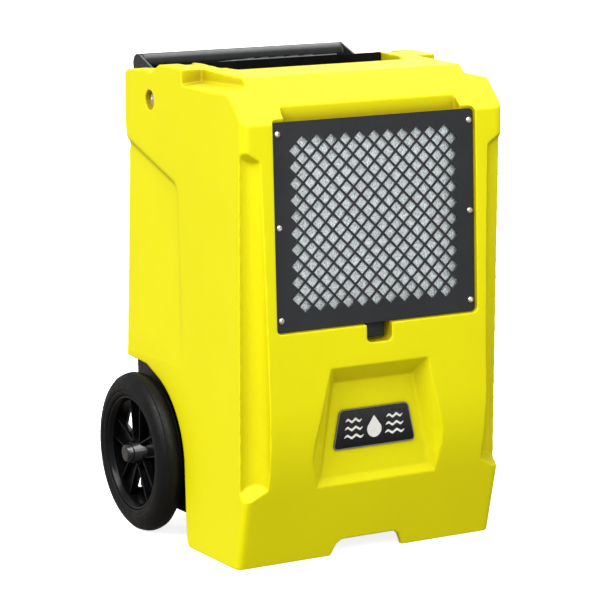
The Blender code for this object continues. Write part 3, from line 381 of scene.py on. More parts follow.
def slab(points, lo, hi, plane="XY", edge=0.0, segments=2):
    """A bmesh of a flat outline given thickness, with its rims rounded."""
    bm = bmesh.new()
    low = [bm.verts.new(PLACE[plane](u, v, lo)) for u, v in points]
    high = [bm.verts.new(PLACE[plane](u, v, hi)) for u, v in points]
    ends = [bm.faces.new(low), bm.faces.new(high)]
    for index in range(len(points)):
        bm.faces.new((low[index], low[index - 1], high[index - 1], high[index]))
    if edge:
        rims = [item for face in ends for item in face.edges]
        bmesh.ops.bevel(bm, geom=rims, offset=edge, segments=segments, profile=0.5,
                        affect="EDGES", clamp_overlap=True)
    bmesh.ops.triangulate(bm, faces=[face for face in bm.faces if len(face.verts) > 4])
    return bm


def block(low, high, edge=0.0):
    """A bmesh of a box between two corners, with rounded edges."""
    bm = bmesh.new()
    bmesh.ops.create_cube(bm, size=1.0)
    size = Vector(high) - Vector(low)
    for vert in bm.verts:
        vert.co = Vector(low) + Vector([(c + 0.5) * s for c, s in zip(vert.co, size)])
    if edge:
        bmesh.ops.bevel(bm, geom=bm.edges[:], offset=edge, segments=2, profile=0.5,
                        affect="EDGES", clamp_overlap=True)
    return bm


def moved(bm, matrix):
    """Transforms a bmesh, with its faces still outward if the matrix mirrors it."""
    bmesh.ops.transform(bm, matrix=matrix, verts=bm.verts)
    if matrix.determinant() < 0:
        bmesh.ops.reverse_faces(bm, faces=bm.faces)
    return bm


def gather(*parts):
    """Several bmeshes as one."""
    whole = bmesh.new()
    for bm in parts:
        bmesh.ops.recalc_face_normals(bm, faces=bm.faces)
        mesh = as_mesh(bm, "part")
        whole.from_mesh(mesh)
        bpy.data.meshes.remove(mesh)
    return whole


def changed(bm, kind, tool=None, **settings):
    """A bmesh after one modifier, which may use a second bmesh as its tool."""
    pair = []
    for shape in (bm, tool) if tool else (bm,):
        obj = bpy.data.objects.new("shape", as_mesh(shape, "shape"))
        PIECES.objects.link(obj)
        pair.append(obj)
    modifier = pair[0].modifiers.new("change", kind)
    if tool:
        modifier.object = pair[1]
    for key, value in settings.items():
        setattr(modifier, key, value)
    baked(pair[0])
    out = bmesh.new()
    out.from_mesh(pair[0].data)
    for obj in pair:
        bpy.data.objects.remove(obj, do_unlink=True)
    return out


def cut(bm, cutter):
    """The first bmesh with the second taken out of it."""
    for shape in (bm, cutter):
        bmesh.ops.recalc_face_normals(shape, faces=shape.faces)
    return changed(bm, "BOOLEAN", cutter)


def middle(node):
    """Middle of a CAD node's box."""
    low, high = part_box(node)
    return (Vector(low) + Vector(high)) / 2


# ---------------------------------------------------------------- carried-over CAD nodes
def dress_nodes():
    """Gives each CAD node the finish of its material slot."""
    for entry in frame["record"]["subparts"]:
        obj = NODES[entry["node"]]
        obj.data.materials.clear()
        obj.data.materials.append(FINISH[SLOT_FINISH[entry["material_slot"]]].material)
        for face in obj.data.polygons:
            face.material_index = 0


dress_nodes()


# ---------------------------------------------------------------- housing
HOUSING_FACES = 150000     # triangles kept after the moulding is softened
FULL, QUICK = (0.0011, 9, 70), (0.0026, 3, 10)     # voxel, softening and melting turns

# Depth of the CAD front behind its foremost plane, by height, and the curve that replaces it.
BEND_POINTS = ((0.0, 0.0420), (0.132, 0.0040), (0.150, 0.0007), (0.168, 0.0), (1.0, 0.0))
BEND_CENTRE, BEND_REACH, BEND_SLOPE = 0.1459, 0.050, 0.288
BEND_SKIN, BEND_FADE = 0.003, 0.012     # how deep the curve moves the shell, then fades


def ease_bend(mesh):
    """Turns the bend across the front into a long curve, without moving its flats."""
    front = CAD_BOX[0][1]
    for vert in mesh.vertices:
        z = vert.co.z
        if abs(z - BEND_CENTRE) > BEND_REACH:
            continue
        for (z0, d0), (z1, d1) in zip(BEND_POINTS, BEND_POINTS[1:]):
            if z0 <= z <= z1:
                now = d0 + (d1 - d0) * (z - z0) / (z1 - z0)
        eased = BEND_SLOPE * (BEND_CENTRE + BEND_REACH - z) ** 2 / (4 * BEND_REACH)
        depth = vert.co.y - front - now
        weight = max(0.0, min(1.0, 1.0 - (depth - BEND_SKIN) / BEND_FADE))
        vert.co.y += weight * (eased - now)


STEP_LINE = ((0.165, 0.5142), (-0.009, 0.456), (-0.017, 0.446), (-0.017, 0.245))     # (y, z)
STEP_REACH = 0.010         # how far to each side of the step its wall is melted away
FLANK = 0.169              # the step is on the flanks, further out than this


def melt_steps(obj, turns):
    """Melts the wall round the shallow side recess into a soft slope."""
    near = {1.0: [], 0.5: []}
    for vert in obj.data.vertices:
        x, y, z = vert.co
        if abs(x) < FLANK:
            continue
        gap = 1.0
        for (y0, z0), (y1, z1) in zip(STEP_LINE, STEP_LINE[1:]):
            run, rise = y1 - y0, z1 - z0
            t = ((y - y0) * run + (z - z0) * rise) / (run * run + rise * rise)
            t = max(0.0, min(1.0, t))
            gap = min(gap, ((y - y0 - t * run) ** 2 + (z - z0 - t * rise) ** 2) ** 0.5)
        if gap < STEP_REACH:
            near[1.0].append(vert.index)
        elif gap < STEP_REACH * 1.4:
            near[0.5].append(vert.index)
    group = obj.vertex_groups.new(name="step")
    for weight, indices in near.items():
        group.add(indices, weight, "REPLACE")
    soften(obj, turns, group.name)


def soften(obj, turns, group=""):
    """Smooths an object, or only its vertex group, and bakes its modifiers."""
    smooth = obj.modifiers.new("soften", "SMOOTH")
    smooth.factor = 0.5
    smooth.iterations = turns
    smooth.vertex_group = group
    baked(obj)


def make_housing():
    """The shell as one soft-edged moulding: the CAD shape with every edge rounded."""
    voxel, soft_turns, melt_turns = FULL
    bm = bmesh.new()
    bm.from_mesh(NODES["housing_shell"].data)
    bmesh.ops.remove_doubles(bm, verts=bm.verts, dist=1e-5)
    obj = piece("housing_moulding", bm, "yellow", None, None, smooth=None)
    remesh = obj.modifiers.new("voxels", "REMESH")
    remesh.mode = "VOXEL"
    remesh.voxel_size = voxel
    soften(obj, soft_turns)
    melt_steps(obj, melt_turns)
    ease_bend(obj.data)
    thin = obj.modifiers.new("thin", "DECIMATE")
    thin.ratio = min(1.0, HOUSING_FACES / len(obj.data.polygons) / 2)
    baked(obj)
    obj.data.materials.clear()
    obj.data.materials.append(FINISH["yellow"].material)
    obj.data.shade_smooth()
    weigh_normals(obj)
    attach(obj, "housing")
    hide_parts("housing_shell")


make_housing()


# ---------------------------------------------------------------- intake plate and filter
PAD_SINK, PAD_FLAT = 0.0058, 0.62     # the pad falls away this far, outside this share
PAD_COUNT, PAD_QUICK_COUNT = 150, 60     # squares across the pad's front
PAD_PROUD = 0.0014         # the pad swells this far out of its frame
CREASE, LUMP, TUFT = 0.0011, 0.0006, 0.00028     # heights of the pad's unevenness
CREASE_SCALE, LUMP_SCALE, TUFT_SCALE = 115.0, 62.0, 420.0     # in cells per metre


def make_filter_pad():
    """Fibre pad: a crowned front full of small creases, flat at the back."""
    low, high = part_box("filter_media")
    half = (high[0] - low[0]) / 2
    rise = (high[2] - low[2]) / 2
    centre = middle("filter_media")
    count = PAD_COUNT
    bm = bmesh.new()
    bmesh.ops.create_grid(bm, x_segments=count, y_segments=count, size=1.0)
    for vert in bm.verts:
        u, v = vert.co.x, vert.co.y
        edge = max(abs(u), abs(v))
        sink = PAD_SINK * max(0.0, (edge - PAD_FLAT) / (1 - PAD_FLAT)) ** 2
        spot = Vector((u * half, v * rise, 0.0))
        slant = Vector((spot.x * 0.75 + spot.y * 0.65, (spot.y - spot.x) * 2.1, 3.0))
        crease = 1.0 - abs(noise.noise(slant * CREASE_SCALE)) * 2.2
        lump = noise.noise(spot * LUMP_SCALE)
        tuft = noise.noise(spot * TUFT_SCALE)
        wave = CREASE * max(0.0, crease) ** 3 + LUMP * lump + TUFT * tuft
        vert.co = (centre.x + spot.x, low[1] - PAD_PROUD + sink + wave, centre.z + spot.y)
    front = bm.verts[:]
    rim = [edge for edge in bm.edges if edge.is_boundary]
    made = bmesh.ops.extrude_edge_only(bm, edges=rim)
    for vert in [item for item in made["geom"] if isinstance(item, bmesh.types.BMVert)]:
        vert.co.y = high[1] - 0.0004
    back_rim = [item for item in made["geom"] if isinstance(item, bmesh.types.BMEdge)]
    back_rim = [edge for edge in back_rim if all(vert not in front for vert in edge.verts)]
    bmesh.ops.triangle_fill(bm, edges=back_rim, use_dissolve=False)
    pad = piece("filter_pad", bm, "fibre", "housing", "filter_cloth", "filter_media",
                smooth=60)


TAB_HALF, TAB_FRONT, TAB_THICK = 0.0140, -0.1816, 0.0014
TAB_FOOT, TAB_HEAD = 0.2705, 0.2925
TAB_RIBS, RIB_PITCH, RIB_TALL, RIB_PROUD = 4, 0.0050, 0.0016, 0.0006


def make_notch_shade_tab():
    """Dark ribbed tab deep in the finger notch, put there as painted shade: it darkens the
    notch.
    """
    bars = [block((-TAB_HALF, TAB_FRONT, TAB_FOOT),
                  (TAB_HALF, TAB_FRONT + TAB_THICK, TAB_HEAD), 0.0005)]
    for step in range(TAB_RIBS):
        z = TAB_FOOT + 0.0030 + RIB_PITCH * step
        bars.append(block((0.001 - TAB_HALF, TAB_FRONT - RIB_PROUD, z),
                          (TAB_HALF - 0.001, TAB_FRONT + 0.0004, z + RIB_TALL), 0.0004))
    # Painted shade: the tab's dark finish stands for the shade in the notch.
    piece("filter_notch_shade_tab", gather(*bars), "charcoal", "housing", "charcoal_plate",
          smooth=30)


round_edges(0.00045, "filter_grille_plate")
round_edges(0.0006, "filter_frame")
make_filter_pad()
make_notch_shade_tab()


# ---------------------------------------------------------------- screws and bolts
def cross_recess(depth, reach, width):
    """The tapered cross that a driver fits, pointing along X, as one closed bmesh."""
    arms = []
    for turn in (0, pi / 2):
        bm = block((-depth, -reach, -width), (depth, reach, width))
        for vert in bm.verts:
            if vert.co.x < 0:
                vert.co.y *= 0.45
        arms.append(moved(bm, Matrix.Rotation(turn, 4, "X")))
    return changed(gather(*arms), "REMESH", mode="VOXEL", voxel_size=0.00012)


def pan_head(radius, height, shank, length):
    """Mesh of a screw on the X axis, its crown towards +X, with a cross recess."""
    profile = rounded([(height, 0.0), (height * 0.92, radius * 0.55),
                       (height * 0.62, radius * 0.94), (height * 0.12, radius),
                       (0.0, radius * 0.97)], radius * 0.2, 3, False)
    profile += [(0.0, shank), (-length, shank), (-length, 0.0)]
    head = lathe(profile, 40, closed=False)
    tool = cross_recess(height * 0.80, radius * 0.66, radius * 0.17)
    return as_mesh(cut(head, moved(tool, Matrix.Translation((height, 0, 0)))), "screw")


PLATE_SCREW = (0.0026, 0.0017, 0.0021)     # height of the head, shank radius, shank length
PANEL_SCREW = (0.0022, 0.0016, 0.0010)
PANEL_SCREW_RADIUS = 0.0040


def add_screw(name, mesh, place, turn, out, *nodes):
    """A copy of a screw mesh, its crown towards the side out (-1 or 1) of the Y axis."""
    copy = mesh.copy()
    copy.transform(place @ Matrix.Rotation(radians(turn), 4, "Y")
                   @ Matrix.Rotation(out * pi / 2, 4, "Z"))
    piece(name, copy, "zinc", "housing", "zinc_steel", *nodes, smooth=40)


def make_grille_screws():
    """Six pan-head screws that hold the intake plate."""
    low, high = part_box("grille_screw_1")
    mesh = pan_head((high[0] - low[0]) / 2, *PLATE_SCREW)
    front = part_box("filter_grille_plate")[0][1]
    for number in range(1, 7):
        node = "grille_screw_%d" % number
        centre = middle(node)
        place = Matrix.Translation((centre.x, front - 0.0002, centre.z))
        add_screw("plate_screw_%d" % number, mesh, place, 37 * number, -1, node)


SOCKET_RADIUS, SOCKET_DEPTH, BOLT_SHANK = 0.0036, 0.0040, 0.005


def make_pivot_bolts():
    """Button-head bolts with a hex socket that the handle turns on."""
    for side, name in ((-1, "left"), (1, "right")):
        low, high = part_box("handle_pivot_bolt_" + name)
        centre = middle("handle_pivot_bolt_" + name)
        radius = (high[2] - low[2]) / 2
        outer = high[0] if side > 0 else low[0]
        length = high[0] - low[0]
        crown = rounded([(0.0, 0.0), (-0.0004, radius * 0.55), (-0.0022, radius * 0.93),
                         (-0.0060, radius)], 0.002, 4, False)
        profile = crown + [(-0.0062, BOLT_SHANK), (-length, BOLT_SHANK), (-length, 0.0)]
        hexagon = [(SOCKET_RADIUS * cos(k * pi / 3), SOCKET_RADIUS * sin(k * pi / 3))
                   for k in range(6)]
        bolt = cut(lathe(profile, 48, closed=False),
                   slab(hexagon, -SOCKET_DEPTH, 0.001, "YZ"))
        if side < 0:
            moved(bolt, Matrix.Scale(-1, 4, (1, 0, 0)))
        moved(bolt, Matrix.Translation((outer, centre.y, centre.z)))
        piece("pivot_bolt_" + name, bolt, "zinc", "housing", "zinc_steel",
              "handle_pivot_bolt_" + name, smooth=35)


make_grille_screws()
make_pivot_bolts()


# ---------------------------------------------------------------- badge
BADGE_TOP, BADGE_BASE = 0.0477, 0.0573     # half widths of the badge
BADGE_CORNER, BADGE_RIM = 0.0058, 0.0011
SIGN_LOW, SIGN_HIGH = -0.0004, 0.0001      # the signs' depth about the badge's face
SIGN_SINK = 0.0004                         # the face lies this far behind the rim
DROP_RADIUS, DROP_TALL = 0.0100, 0.0215
WAVES_APART, WAVE_PITCH = 0.0285, 0.0098   # of the wavy bars, from the badge's middle
WAVE_HALF, WAVE_TAPER = 0.0125, 0.0012     # half length, and its change with each row up


def badge_outline(inset=0.0):
    """The badge's rounded outline, drawn in by the inset."""
    low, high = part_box("badge_plate")
    top_half, base_half = BADGE_TOP - inset, BADGE_BASE - inset * 1.1
    corners = [(-base_half, low[2] + inset), (base_half, low[2] + inset),
               (top_half, high[2] - inset), (-top_half, high[2] - inset)]
    return rounded(corners, BADGE_CORNER - inset * 0.6, 5)


def drop_sign(radius, height):
    """A plain water drop, raised a little."""
    points = []
    for index in range(29):
        angle = radians(-205 + index * 230 / 28)
        points.append((radius * cos(angle), radius * sin(angle) - height * 0.18))
    points.append((0.0, height * 0.62))
    return slab(rounded(points, 0.0012, 2), SIGN_LOW, SIGN_HIGH, "XZ", 0.00015, 1)


def wave_sign(x, z, half):
    """A short wavy bar."""
    upper, lower = [], []
    for index in range(25):
        t = index / 24 * 2 - 1
        swell = 0.0016 * sin(t * 2.2 * pi)
        thick = 0.0013 * (1 - t ** 6) + 0.0002
        upper.append((x + t * half, z + swell + thick))
        lower.append((x + t * half, z + swell - thick))
    return slab(upper + lower[::-1], SIGN_LOW, SIGN_HIGH, "XZ", 0.00012, 1)


def make_badge():
    """Blank name plate: a thin grey rim round a dark face with a drop and wavy bars."""
    low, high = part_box("badge_plate")
    front = low[1]
    plate = slab(badge_outline(), front + SIGN_SINK, high[1], "XZ", 0.0004)
    piece("badge_back", plate, "badge", "housing", "badge_film", "badge_plate", smooth=30)
    ring = slab(badge_outline(), front, front + 0.0006, "XZ", 0.00025)
    ring = cut(ring, slab(badge_outline(BADGE_RIM), front - 0.001, front + 0.002, "XZ"))
    piece("badge_rim", ring, "grey", "housing", "grey_plastic", smooth=30)
    signs = [drop_sign(DROP_RADIUS, DROP_TALL)]
    for side in (-1, 1):
        for row in (-1, 0, 1):
            signs.append(wave_sign(side * WAVES_APART, row * WAVE_PITCH,
                                   WAVE_HALF - WAVE_TAPER * row))
    centre = Matrix.Translation((0, front + SIGN_SINK, middle("badge_plate").z))
    piece("badge_sign", moved(gather(*signs), centre), "white", "housing", "white_plastic",
          smooth=40)


make_badge()


# ---------------------------------------------------------------- handle
def make_handle():
    """Round bar between flat arms, with a weld bead at each end."""
    low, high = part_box("handle_crossbar")
    radius = (high[2] - low[2]) / 2
    half = (high[0] - low[0]) / 2
    end = [(half - 0.0045, radius), (half - 0.0032, radius + 0.0001),
           (half - 0.0020, radius - 0.0006), (half - 0.0006, radius - 0.0001),
           (half, radius - 0.0006), (half, 0.0)]
    profile = [(-x, r) for x, r in reversed(end)] + [(0.0, radius)] + end
    bar = moved(lathe(profile, 72, closed=False), Matrix.Translation(middle("handle_crossbar")))
    piece("handle_bar", bar, "handle", "handle", "black_steel", "handle_crossbar", smooth=30)
    for name in ("handle_arm_left", "handle_arm_right"):
        round_edges(0.0005, name)
        NODES[name].data.materials[0] = FINISH["handle"].material


make_handle()


# ---------------------------------------------------------------- wheels
TYRE_HALF, TYRE_CROWN, TYRE_CENTRE = 0.018, 0.020, 0.0816     # the tread is half an ellipse
SPOKES, SPOKE_START = 5, radians(18)
SPOKE_NEAR, SPOKE_FAR = 0.0088, 0.0142     # half width of a spoke at the hub and at the rim
FLANGE_FROM, FLANGE_TO = 0.0125, 0.0672    # radii between which a spoke's flanges run
AXLE_BORE = 0.0064


def tread(*degrees):
    """Points of the tyre's outer curve, at angles from the middle of its tread."""
    return [(TYRE_HALF * sin(radians(a)), TYRE_CENTRE + TYRE_CROWN * cos(radians(a)))
            for a in degrees]


def tyre_profile():
    """Section of the solid rubber tyre: round shoulders, two tread grooves and a bead."""
    half = tread(0, 8, 16, 24) + [(0.0079, 0.0991), (0.0086, 0.0991), (0.0092, 0.0993)]
    half += tread(32, 40, 48, 55, 62)
    half += [(0.0172, 0.0872), (0.0179, 0.0835), (0.0179, 0.0812), (0.0174, 0.0800),
             (0.0168, 0.0794), (0.0169, 0.0785), (0.0171, 0.0776), (0.0165, 0.0753),
             (0.0156, 0.0740), (0.0150, 0.0734)]
    half = rounded(half, 0.0007, 2, False)
    return half + [(-x, r) for x, r in reversed(half[1:])]


def rim_profile():
    """Section of the rim: a barrel with a broad rolled lip on each side."""
    points = [(0.0120, 0.0731), (0.0141, 0.0729), (0.0145, 0.0719), (0.0143, 0.0703),
              (0.0130, 0.0692), (0.0085, 0.0664), (-0.0085, 0.0656), (-0.0130, 0.0690),
              (-0.0145, 0.0700), (-0.0145, 0.0724), (-0.0135, 0.0731)]
    return rounded(points, 0.0012, 3)


def spoke():
    """One channel spoke along +Y: a web with a flange along each side and a rib behind."""
    web = rounded([(0.0130, SPOKE_NEAR), (0.0668, SPOKE_FAR), (0.0668, -SPOKE_FAR),
                   (0.0130, -SPOKE_NEAR)], 0.0006, 2)
    parts = [slab(web, -0.0035, -0.0005, "YZ", 0.0004)]
    for side in (-1, 1):
        flange = block((-0.0035, FLANGE_FROM, -0.0010), (0.0066, FLANGE_TO, 0.0010), 0.0005)
        for vert in flange.verts:
            along = (vert.co.y - FLANGE_FROM) / (FLANGE_TO - FLANGE_FROM)
            vert.co.z += side * (SPOKE_NEAR + (SPOKE_FAR - SPOKE_NEAR) * along)
            if vert.co.x > 0:
                vert.co.x -= 0.0016 * (1 - abs(2 * along - 1)) ** 0.5
        parts.append(flange)
    rib = block((-0.0110, 0.0130, -0.0012), (-0.0030, 0.0665, 0.0012), 0.0004)
    return gather(*parts, rib)


def hub(radius):
    """The hub barrel: its outer part is as thick as the axle cap that follows it."""
    points = [(0.0150, AXLE_BORE), (0.0150, radius - 0.0003), (0.0147, radius),
              (0.0012, radius + 0.0048), (-0.0006, 0.0186), (-0.0060, 0.0190),
              (-0.0190, 0.0165), (-0.0200, 0.0150), (-0.0200, AXLE_BORE)]
    return lathe(rounded(points, 0.0008, 3), 56)


def axle_cap(radius, length):
    """The cap over the axle's end, hollow where the axle enters it."""
    points = [(length - 0.0003, 0.0), (length - 0.0001, radius * 0.6),
              (length - 0.0006, radius * 0.80), (0.0, radius), (0.0, 0.0066),
              (length - 0.0030, AXLE_BORE), (length - 0.0030, 0.0)]
    return lathe(rounded(points, 0.0010, 4, False), 64, closed=False)


def make_wheels():
    """On each side a tyre, a spoked rim, a hub and an axle cap, mirrored."""
    for side, name in ((-1, "left"), (1, "right")):
        body = "wheel_" + name
        centre = middle("tyre_" + name)
        outward = Matrix.Scale(side, 4, (1, 0, 0))
        place = Matrix.Translation(centre) @ outward
        piece("wheel_tyre_" + name, moved(lathe(tyre_profile(), 160), place), "rubber", body,
              "rubber", "tyre_" + name, smooth=40)
        spokes = [moved(spoke(), Matrix.Rotation(SPOKE_START + 2 * pi * number / SPOKES, 4, "X"))
                  for number in range(SPOKES)]
        rim = moved(gather(lathe(rim_profile(), 128), *spokes), place)
        piece("wheel_centre_" + name, rim, "gloss", body, "black_plastic",
              "wheel_rim_" + name)
        low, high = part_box("hub_cap_" + name)
        radius = (high[2] - low[2]) / 2
        piece("wheel_hub_" + name, moved(hub(radius), place), "cap", body, "black_plastic")
        foot = Matrix.Translation((low[0] if side > 0 else high[0], centre.y, centre.z))
        cap = moved(axle_cap(radius, high[0] - low[0]), foot @ outward)
        piece("axle_cap_" + name, cap, "cap", body, "black_plastic", "hub_cap_" + name)


make_wheels()


# ---------------------------------------------------------------- console
PANEL_TILT = atan2(-0.0128, 0.1119)       # the console deck falls towards the back
SIGN_THICK = 0.0002
DIGIT_HEIGHT, DIGIT_THICK = 0.0125, 0.00015
DIGITS = (("afgcd", -0.0055), ("abcdef", 0.0050))     # lit bars of each digit, and its place


def digit(code, x):
    """Bars of a seven-segment digit."""
    height = DIGIT_HEIGHT
    wide, thick = height * 0.5, height * 0.10
    bars = {"a": (0, height / 2, True), "g": (0, 0, True), "d": (0, -height / 2, True),
            "b": (wide / 2, height / 4, False), "c": (wide / 2, -height / 4, False),
            "f": (-wide / 2, height / 4, False), "e": (-wide / 2, -height / 4, False)}
    shapes = []
    for name in code:
        u, v, flat = bars[name]
        long = (wide if flat else height / 2) / 2 - thick * 0.55
        tip = thick / 2
        points = [(-long, -tip), (long, -tip), (long + tip, 0), (long, tip), (-long, tip),
                  (-long - tip, 0)]
        if not flat:
            points = [(b, a) for a, b in points]
        shapes.append(slab([(x + u + a, v + b) for a, b in points], 0.0, DIGIT_THICK))
    return shapes


def bar_points(left, low, right, high):
    """Corners of an upright rectangle."""
    return [(left, low), (right, low), (right, high), (left, high)]


def icon(kind):
    """Generic sign on a button: a power mark, arrows, a drain arrow or a fan mark."""
    if kind in ("up", "down"):
        flip = 1 if kind == "up" else -1
        outlines = [[(-0.0024, -0.0013 * flip), (0.0, 0.0022 * flip),
                     (0.0024, -0.0013 * flip)]]
    elif kind == "power":
        turns = [radians(125 + 290 * k / 18) for k in range(19)]
        ring = [(0.0026 * cos(a), 0.0026 * sin(a)) for a in turns]
        ring += [(0.0020 * cos(a), 0.0020 * sin(a)) for a in reversed(turns)]
        outlines = [ring, bar_points(-0.0003, 0.0006, 0.0003, 0.0031)]
    elif kind == "purge":
        outlines = [bar_points(-0.0003, -0.0004, 0.0003, 0.0026),
                    [(-0.0016, 0.0000), (0.0016, 0.0000), (0.0, -0.0020)],
                    bar_points(-0.0024, -0.0030, 0.0024, -0.0025)]
    else:
        blade = [Vector(p) for p in ((0.0004, 0.0, 0.0), (0.0014, 0.0009, 0.0),
                                     (0.0009, 0.0027, 0.0), (-0.0005, 0.0026, 0.0))]
        outlines = [[tuple((Matrix.Rotation(k * 2 * pi / 3, 3, "Z") @ p).xy) for p in blade]
                    for k in range(3)]
    return gather(*[slab(outline, 0, SIGN_THICK) for outline in outlines])


def button_cap(radius, tall):
    """A push button along X, its face dished a little."""
    points = [(tall - 0.0007, 0.0), (tall - 0.0005, radius * 0.55), (tall, radius * 0.80),
              (tall - 0.0004, radius * 0.95), (tall - 0.0014, radius), (0.0, radius)]
    return lathe(rounded(points, 0.0006, 3, False) + [(0.0, 0.0)], 48, closed=False)


def make_console():
    """Softened console, dished buttons with signs, and a lit humidity readout."""
    round_edges(0.0011, "control_console")
    round_edges(0.0004, "control_fascia")
    round_edges(0.0003, "display_lens")
    # The deck's own frame: X right, Y back along it, Z out of it.
    place = (Matrix.Translation(middle("control_fascia"))
             @ Matrix.Rotation(PANEL_TILT, 4, "X"))
    flat = place.inverted()
    about = Matrix.Rotation(pi, 4, "Z")       # the deck is read from behind the machine

    def extent(node):
        """Middle, lowest and highest point of a node, in the deck's frame."""
        spots = [flat @ vert.co for vert in NODES[node].data.vertices]
        heights = [spot.z for spot in spots]
        return sum(spots, Vector()) / len(spots), min(heights), max(heights)

    for name in ("power", "up", "down", "purge", "mode"):
        node = "button_" + name
        low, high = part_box(node)
        centre, base, top = extent(node)
        stand = (Matrix.Translation((centre.x, centre.y, base))
                 @ Matrix.Rotation(-pi / 2, 4, "Y"))
        cap = moved(button_cap((high[0] - low[0]) / 2, top - base), place @ stand)
        piece("push_" + name, cap, "button", node, "button_rubber", node)
        lift = Matrix.Translation((centre.x, centre.y, top - 0.0006)) @ about
        piece("sign_" + name, moved(icon(name), place @ lift), "white", node,
              "white_plastic", smooth=None)
    centre, _, top = extent("display_lens")
    bars = [bar for code, x in DIGITS for bar in digit(code, x)]
    spot = Matrix.Translation((centre.x, centre.y, top))
    readout = moved(gather(*bars), place @ spot @ about)
    piece("display_digits", readout, "glow", "housing", "display_lens", smooth=None)


make_console()


# ---------------------------------------------------------------- back
REAR_LEAN = radians(3.27)
SKIRT = ((-0.1675, 0.1428, 0.0150), (0.1675, 0.1500, 0.0412))
GUARD_CENTRE, GUARD_REACH = 0.415, 0.0985 * cos(radians(45))     # of the guard's screws
PANEL_SPOTS = [(side * 0.158, z) for side in (-1, 1) for z in (0.245, 0.370, 0.505)]
PANEL_SPOTS += [(side * 0.150, 0.060) for side in (-1, 1)]
GUARD_SPOTS = [(side * GUARD_REACH, GUARD_CENTRE + up * GUARD_REACH)
               for side in (-1, 1) for up in (-1, 1)]
BLADE_SPOTS = ((-0.0065, -0.0018), (0.0, 0.0026), (0.0065, -0.0018))
BLADE_HALF = (0.0010, 0.0021)
BLADE_FROM, BLADE_TO = 0.0190, 0.0040     # depths between which the inlet's blades reach


def make_rear():
    """Softened edges, the skirt, panel screws and the inlet's contact blades."""
    round_edges(0.0003, "exhaust_guard")
    round_edges(0.0004, "drain_connector")
    round_edges(0.0005, "rear_panel", "fan_bracket", "machine_shelf")
    round_edges(0.0006, "power_inlet", "fan_shroud", "fan_impeller", "base_chassis")
    round_edges(0.0010, "drip_tray")
    piece("rear_skirt", block(*SKIRT, 0.0012), "powder", "housing", "black_steel", smooth=30)
    # The leaning panel's own frame: X right, Y out of the back, Z up along it.
    low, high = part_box("rear_panel")
    place = (Matrix.Translation((0, high[1] + low[2] * tan(REAR_LEAN), 0))
             @ Matrix.Rotation(REAR_LEAN, 4, "X"))
    flat = place.inverted()

    def face(node):
        """How far out of the back a node reaches."""
        return max((flat @ vert.co).y for vert in NODES[node].data.vertices)

    screw = pan_head(PANEL_SCREW_RADIUS, *PANEL_SCREW)
    number = 0
    for node, spots in (("rear_panel", PANEL_SPOTS), ("exhaust_guard", GUARD_SPOTS)):
        for x, z in spots:
            number += 1
            stand = place @ Matrix.Translation((x, face(node) + 0.0001, z))
            add_screw("panel_screw_%02d" % number, screw, stand, 29 * number, 1)
    centre = flat @ middle("power_inlet")
    out = face("power_inlet")
    wide, tall = BLADE_HALF
    blades = [block((centre.x + x - wide, out - BLADE_FROM, centre.z + z - tall),
                    (centre.x + x + wide, out - BLADE_TO, centre.z + z + tall), 0.0004)
              for x, z in BLADE_SPOTS]
    piece("inlet_blades", moved(gather(*blades), place), "zinc", "housing", "zinc_steel",
          smooth=30)


make_rear()


# ---------------------------------------------------------------- camera, floor, light
CAMERA_PLACE = (-1.5456, -2.8575, 0.8344)
CAMERA_YAW, CAMERA_PITCH, CAMERA_ROLL = radians(28.37), radians(9.5), radians(-1.28)
LENS, SENSOR, CLIP_END = 156.56, 36.0, 80
FLOOR_HALF, FLOOR_LEVEL, FLOOR_GLOW = 40.0, -0.0004, 0.84
DOME_RISE = (-0.75, 0.05)          # the dome's Z range over which it grows brighter
DOME_LOW, DOME_HIGH = 0.22, 0.56
DIM_SIDE, DIM_RANGE, DOME_BEHIND = (0.80, 0.60, 0.0), (0.30, 0.80), 0.35
WARM_RANGE = (-0.35, 0.25)         # the dome's Z range over which warm turns to neutral
WARM, NEUTRAL = (1.0, 0.90, 0.80), (0.98, 1.0, 1.0)
KEY_FROM, KEY_LEVEL, KEY_SPREAD = (-0.72, -0.18, 0.67), 0.82, radians(35)
# Each box: place, aim, watts, size, and the kind of ray that doesn't see it.
BOXES = {
    "front_box": ((-0.3, -1.45, 1.00), (0, -0.2, 0.3), 10, 0.9, None),
    "back_box": ((1.6, 2.0, 1.6), (0, 0, 0.3), 60, 1.4, "visible_glossy"),
    "glint_box": ((-0.60, -1.10, 2.00), (-0.2, 0.09, 0.1), 26, 1.2, "visible_diffuse"),
    "sheen_box": ((1.00, 0.50, 2.10), (0, 0, 0.4), 48, 1.9, "visible_diffuse"),
}


def make_camera():
    """A long lens in front and to the left, a little above the machine."""
    data = bpy.data.cameras.new("camera")
    data.lens = LENS
    data.sensor_width = SENSOR
    data.clip_end = CLIP_END
    camera = bpy.data.objects.new("camera", data)
    PIECES.objects.link(camera)
    yaw, pitch, roll = CAMERA_YAW, CAMERA_PITCH, CAMERA_ROLL
    ahead = Vector((sin(yaw) * cos(pitch), cos(yaw) * cos(pitch), -sin(pitch)))
    right = Vector((cos(yaw), -sin(yaw), 0))
    up = right.cross(ahead)
    across = cos(roll) * right + sin(roll) * up
    above = -sin(roll) * right + cos(roll) * up
    turn = Matrix((across, above, -ahead)).transposed().to_4x4()
    camera.matrix_world = Matrix.Translation(CAMERA_PLACE) @ turn
    bpy.context.scene.camera = camera


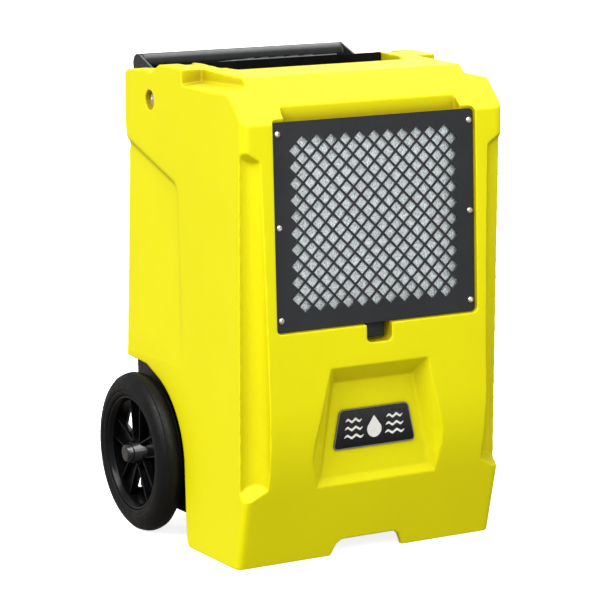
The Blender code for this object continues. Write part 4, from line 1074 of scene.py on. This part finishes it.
def make_floor():
    """A pale floor that takes a faint shadow, but no part in lighting the machine."""
    bm = bmesh.new()
    bmesh.ops.create_grid(bm, x_segments=4, y_segments=4, size=FLOOR_HALF)
    mesh = as_mesh(bm, "floor")
    floor = bpy.data.objects.new("floor", mesh)
    PIECES.objects.link(floor)
    floor.location = (0, 0, FLOOR_LEVEL)
    f = Finish("floor_paper", (0.93, 0.93, 0.93), 0.9, specular=0.1)
    f.mottle(f.noise(3), (0.91, 0.91, 0.91))
    f.glow((1, 1, 1), FLOOR_GLOW)
    mesh.materials.append(f.material)
    floor.visible_diffuse = False
    floor.visible_glossy = False
    floor.visible_shadow = False


def lamp(name, kind, place, aim, energy, **settings):
    data = bpy.data.lights.new(name, kind)
    data.energy = energy
    for key, value in settings.items():
        setattr(data, key, value)
    obj = bpy.data.objects.new(name, data)
    PIECES.objects.link(obj)
    obj.location = place
    obj.rotation_euler = (Vector(aim) - Vector(place)).to_track_quat("-Z", "Y").to_euler()
    return obj


def make_world():
    """A pale studio dome, brighter overhead than below and dimmer to the right and behind."""
    world = bpy.data.worlds.new("studio")
    bpy.context.scene.world = world
    world.use_nodes = True
    tree = world.node_tree
    background = tree.nodes["Background"]

    def node(kind, source, socket, **settings):
        made = tree.nodes.new("ShaderNode" + kind)
        for key, value in settings.items():
            setattr(made, key, value)
        tree.links.new(source, made.inputs[socket])
        return made

    def ranged(source, from_range, low=0.0, high=1.0):
        made = node("MapRange", source, "Value")
        made.inputs["From Min"].default_value = from_range[0]
        made.inputs["From Max"].default_value = from_range[1]
        made.inputs["To Min"].default_value = low
        made.inputs["To Max"].default_value = high
        return made.outputs["Result"]

    towards = tree.nodes.new("ShaderNodeTexCoord").outputs["Generated"]
    rise = node("SeparateXYZ", towards, "Vector").outputs["Z"]
    away = node("VectorMath", towards, 0, operation="DOT_PRODUCT")
    away.inputs[1].default_value = DIM_SIDE
    dimmed = ranged(away.outputs["Value"], DIM_RANGE, 1.0, DOME_BEHIND)
    level = node("Math", ranged(rise, DOME_RISE, DOME_LOW, DOME_HIGH), 0,
                 operation="MULTIPLY")
    tree.links.new(dimmed, level.inputs[1])
    tree.links.new(level.outputs["Value"], background.inputs["Strength"])
    warmth = node("Mix", ranged(rise, WARM_RANGE), "Factor", data_type="RGBA")
    warmth.inputs["A"].default_value = (*WARM, 1)
    warmth.inputs["B"].default_value = (*NEUTRAL, 1)
    tree.links.new(warmth.outputs["Result"], background.inputs["Color"])


def make_light():
    """The dome, one soft sun and four soft boxes."""
    bpy.context.scene.view_settings.view_transform = "Standard"
    make_world()
    lamp("key", "SUN", KEY_FROM, (0, 0, 0), KEY_LEVEL * pi, angle=KEY_SPREAD)
    for name, (place, aim, watts, size, hidden) in BOXES.items():
        box = lamp(name, "AREA", place, aim, watts, size=size)
        if hidden:
            setattr(box, hidden, False)


make_camera()
make_floor()
make_light()
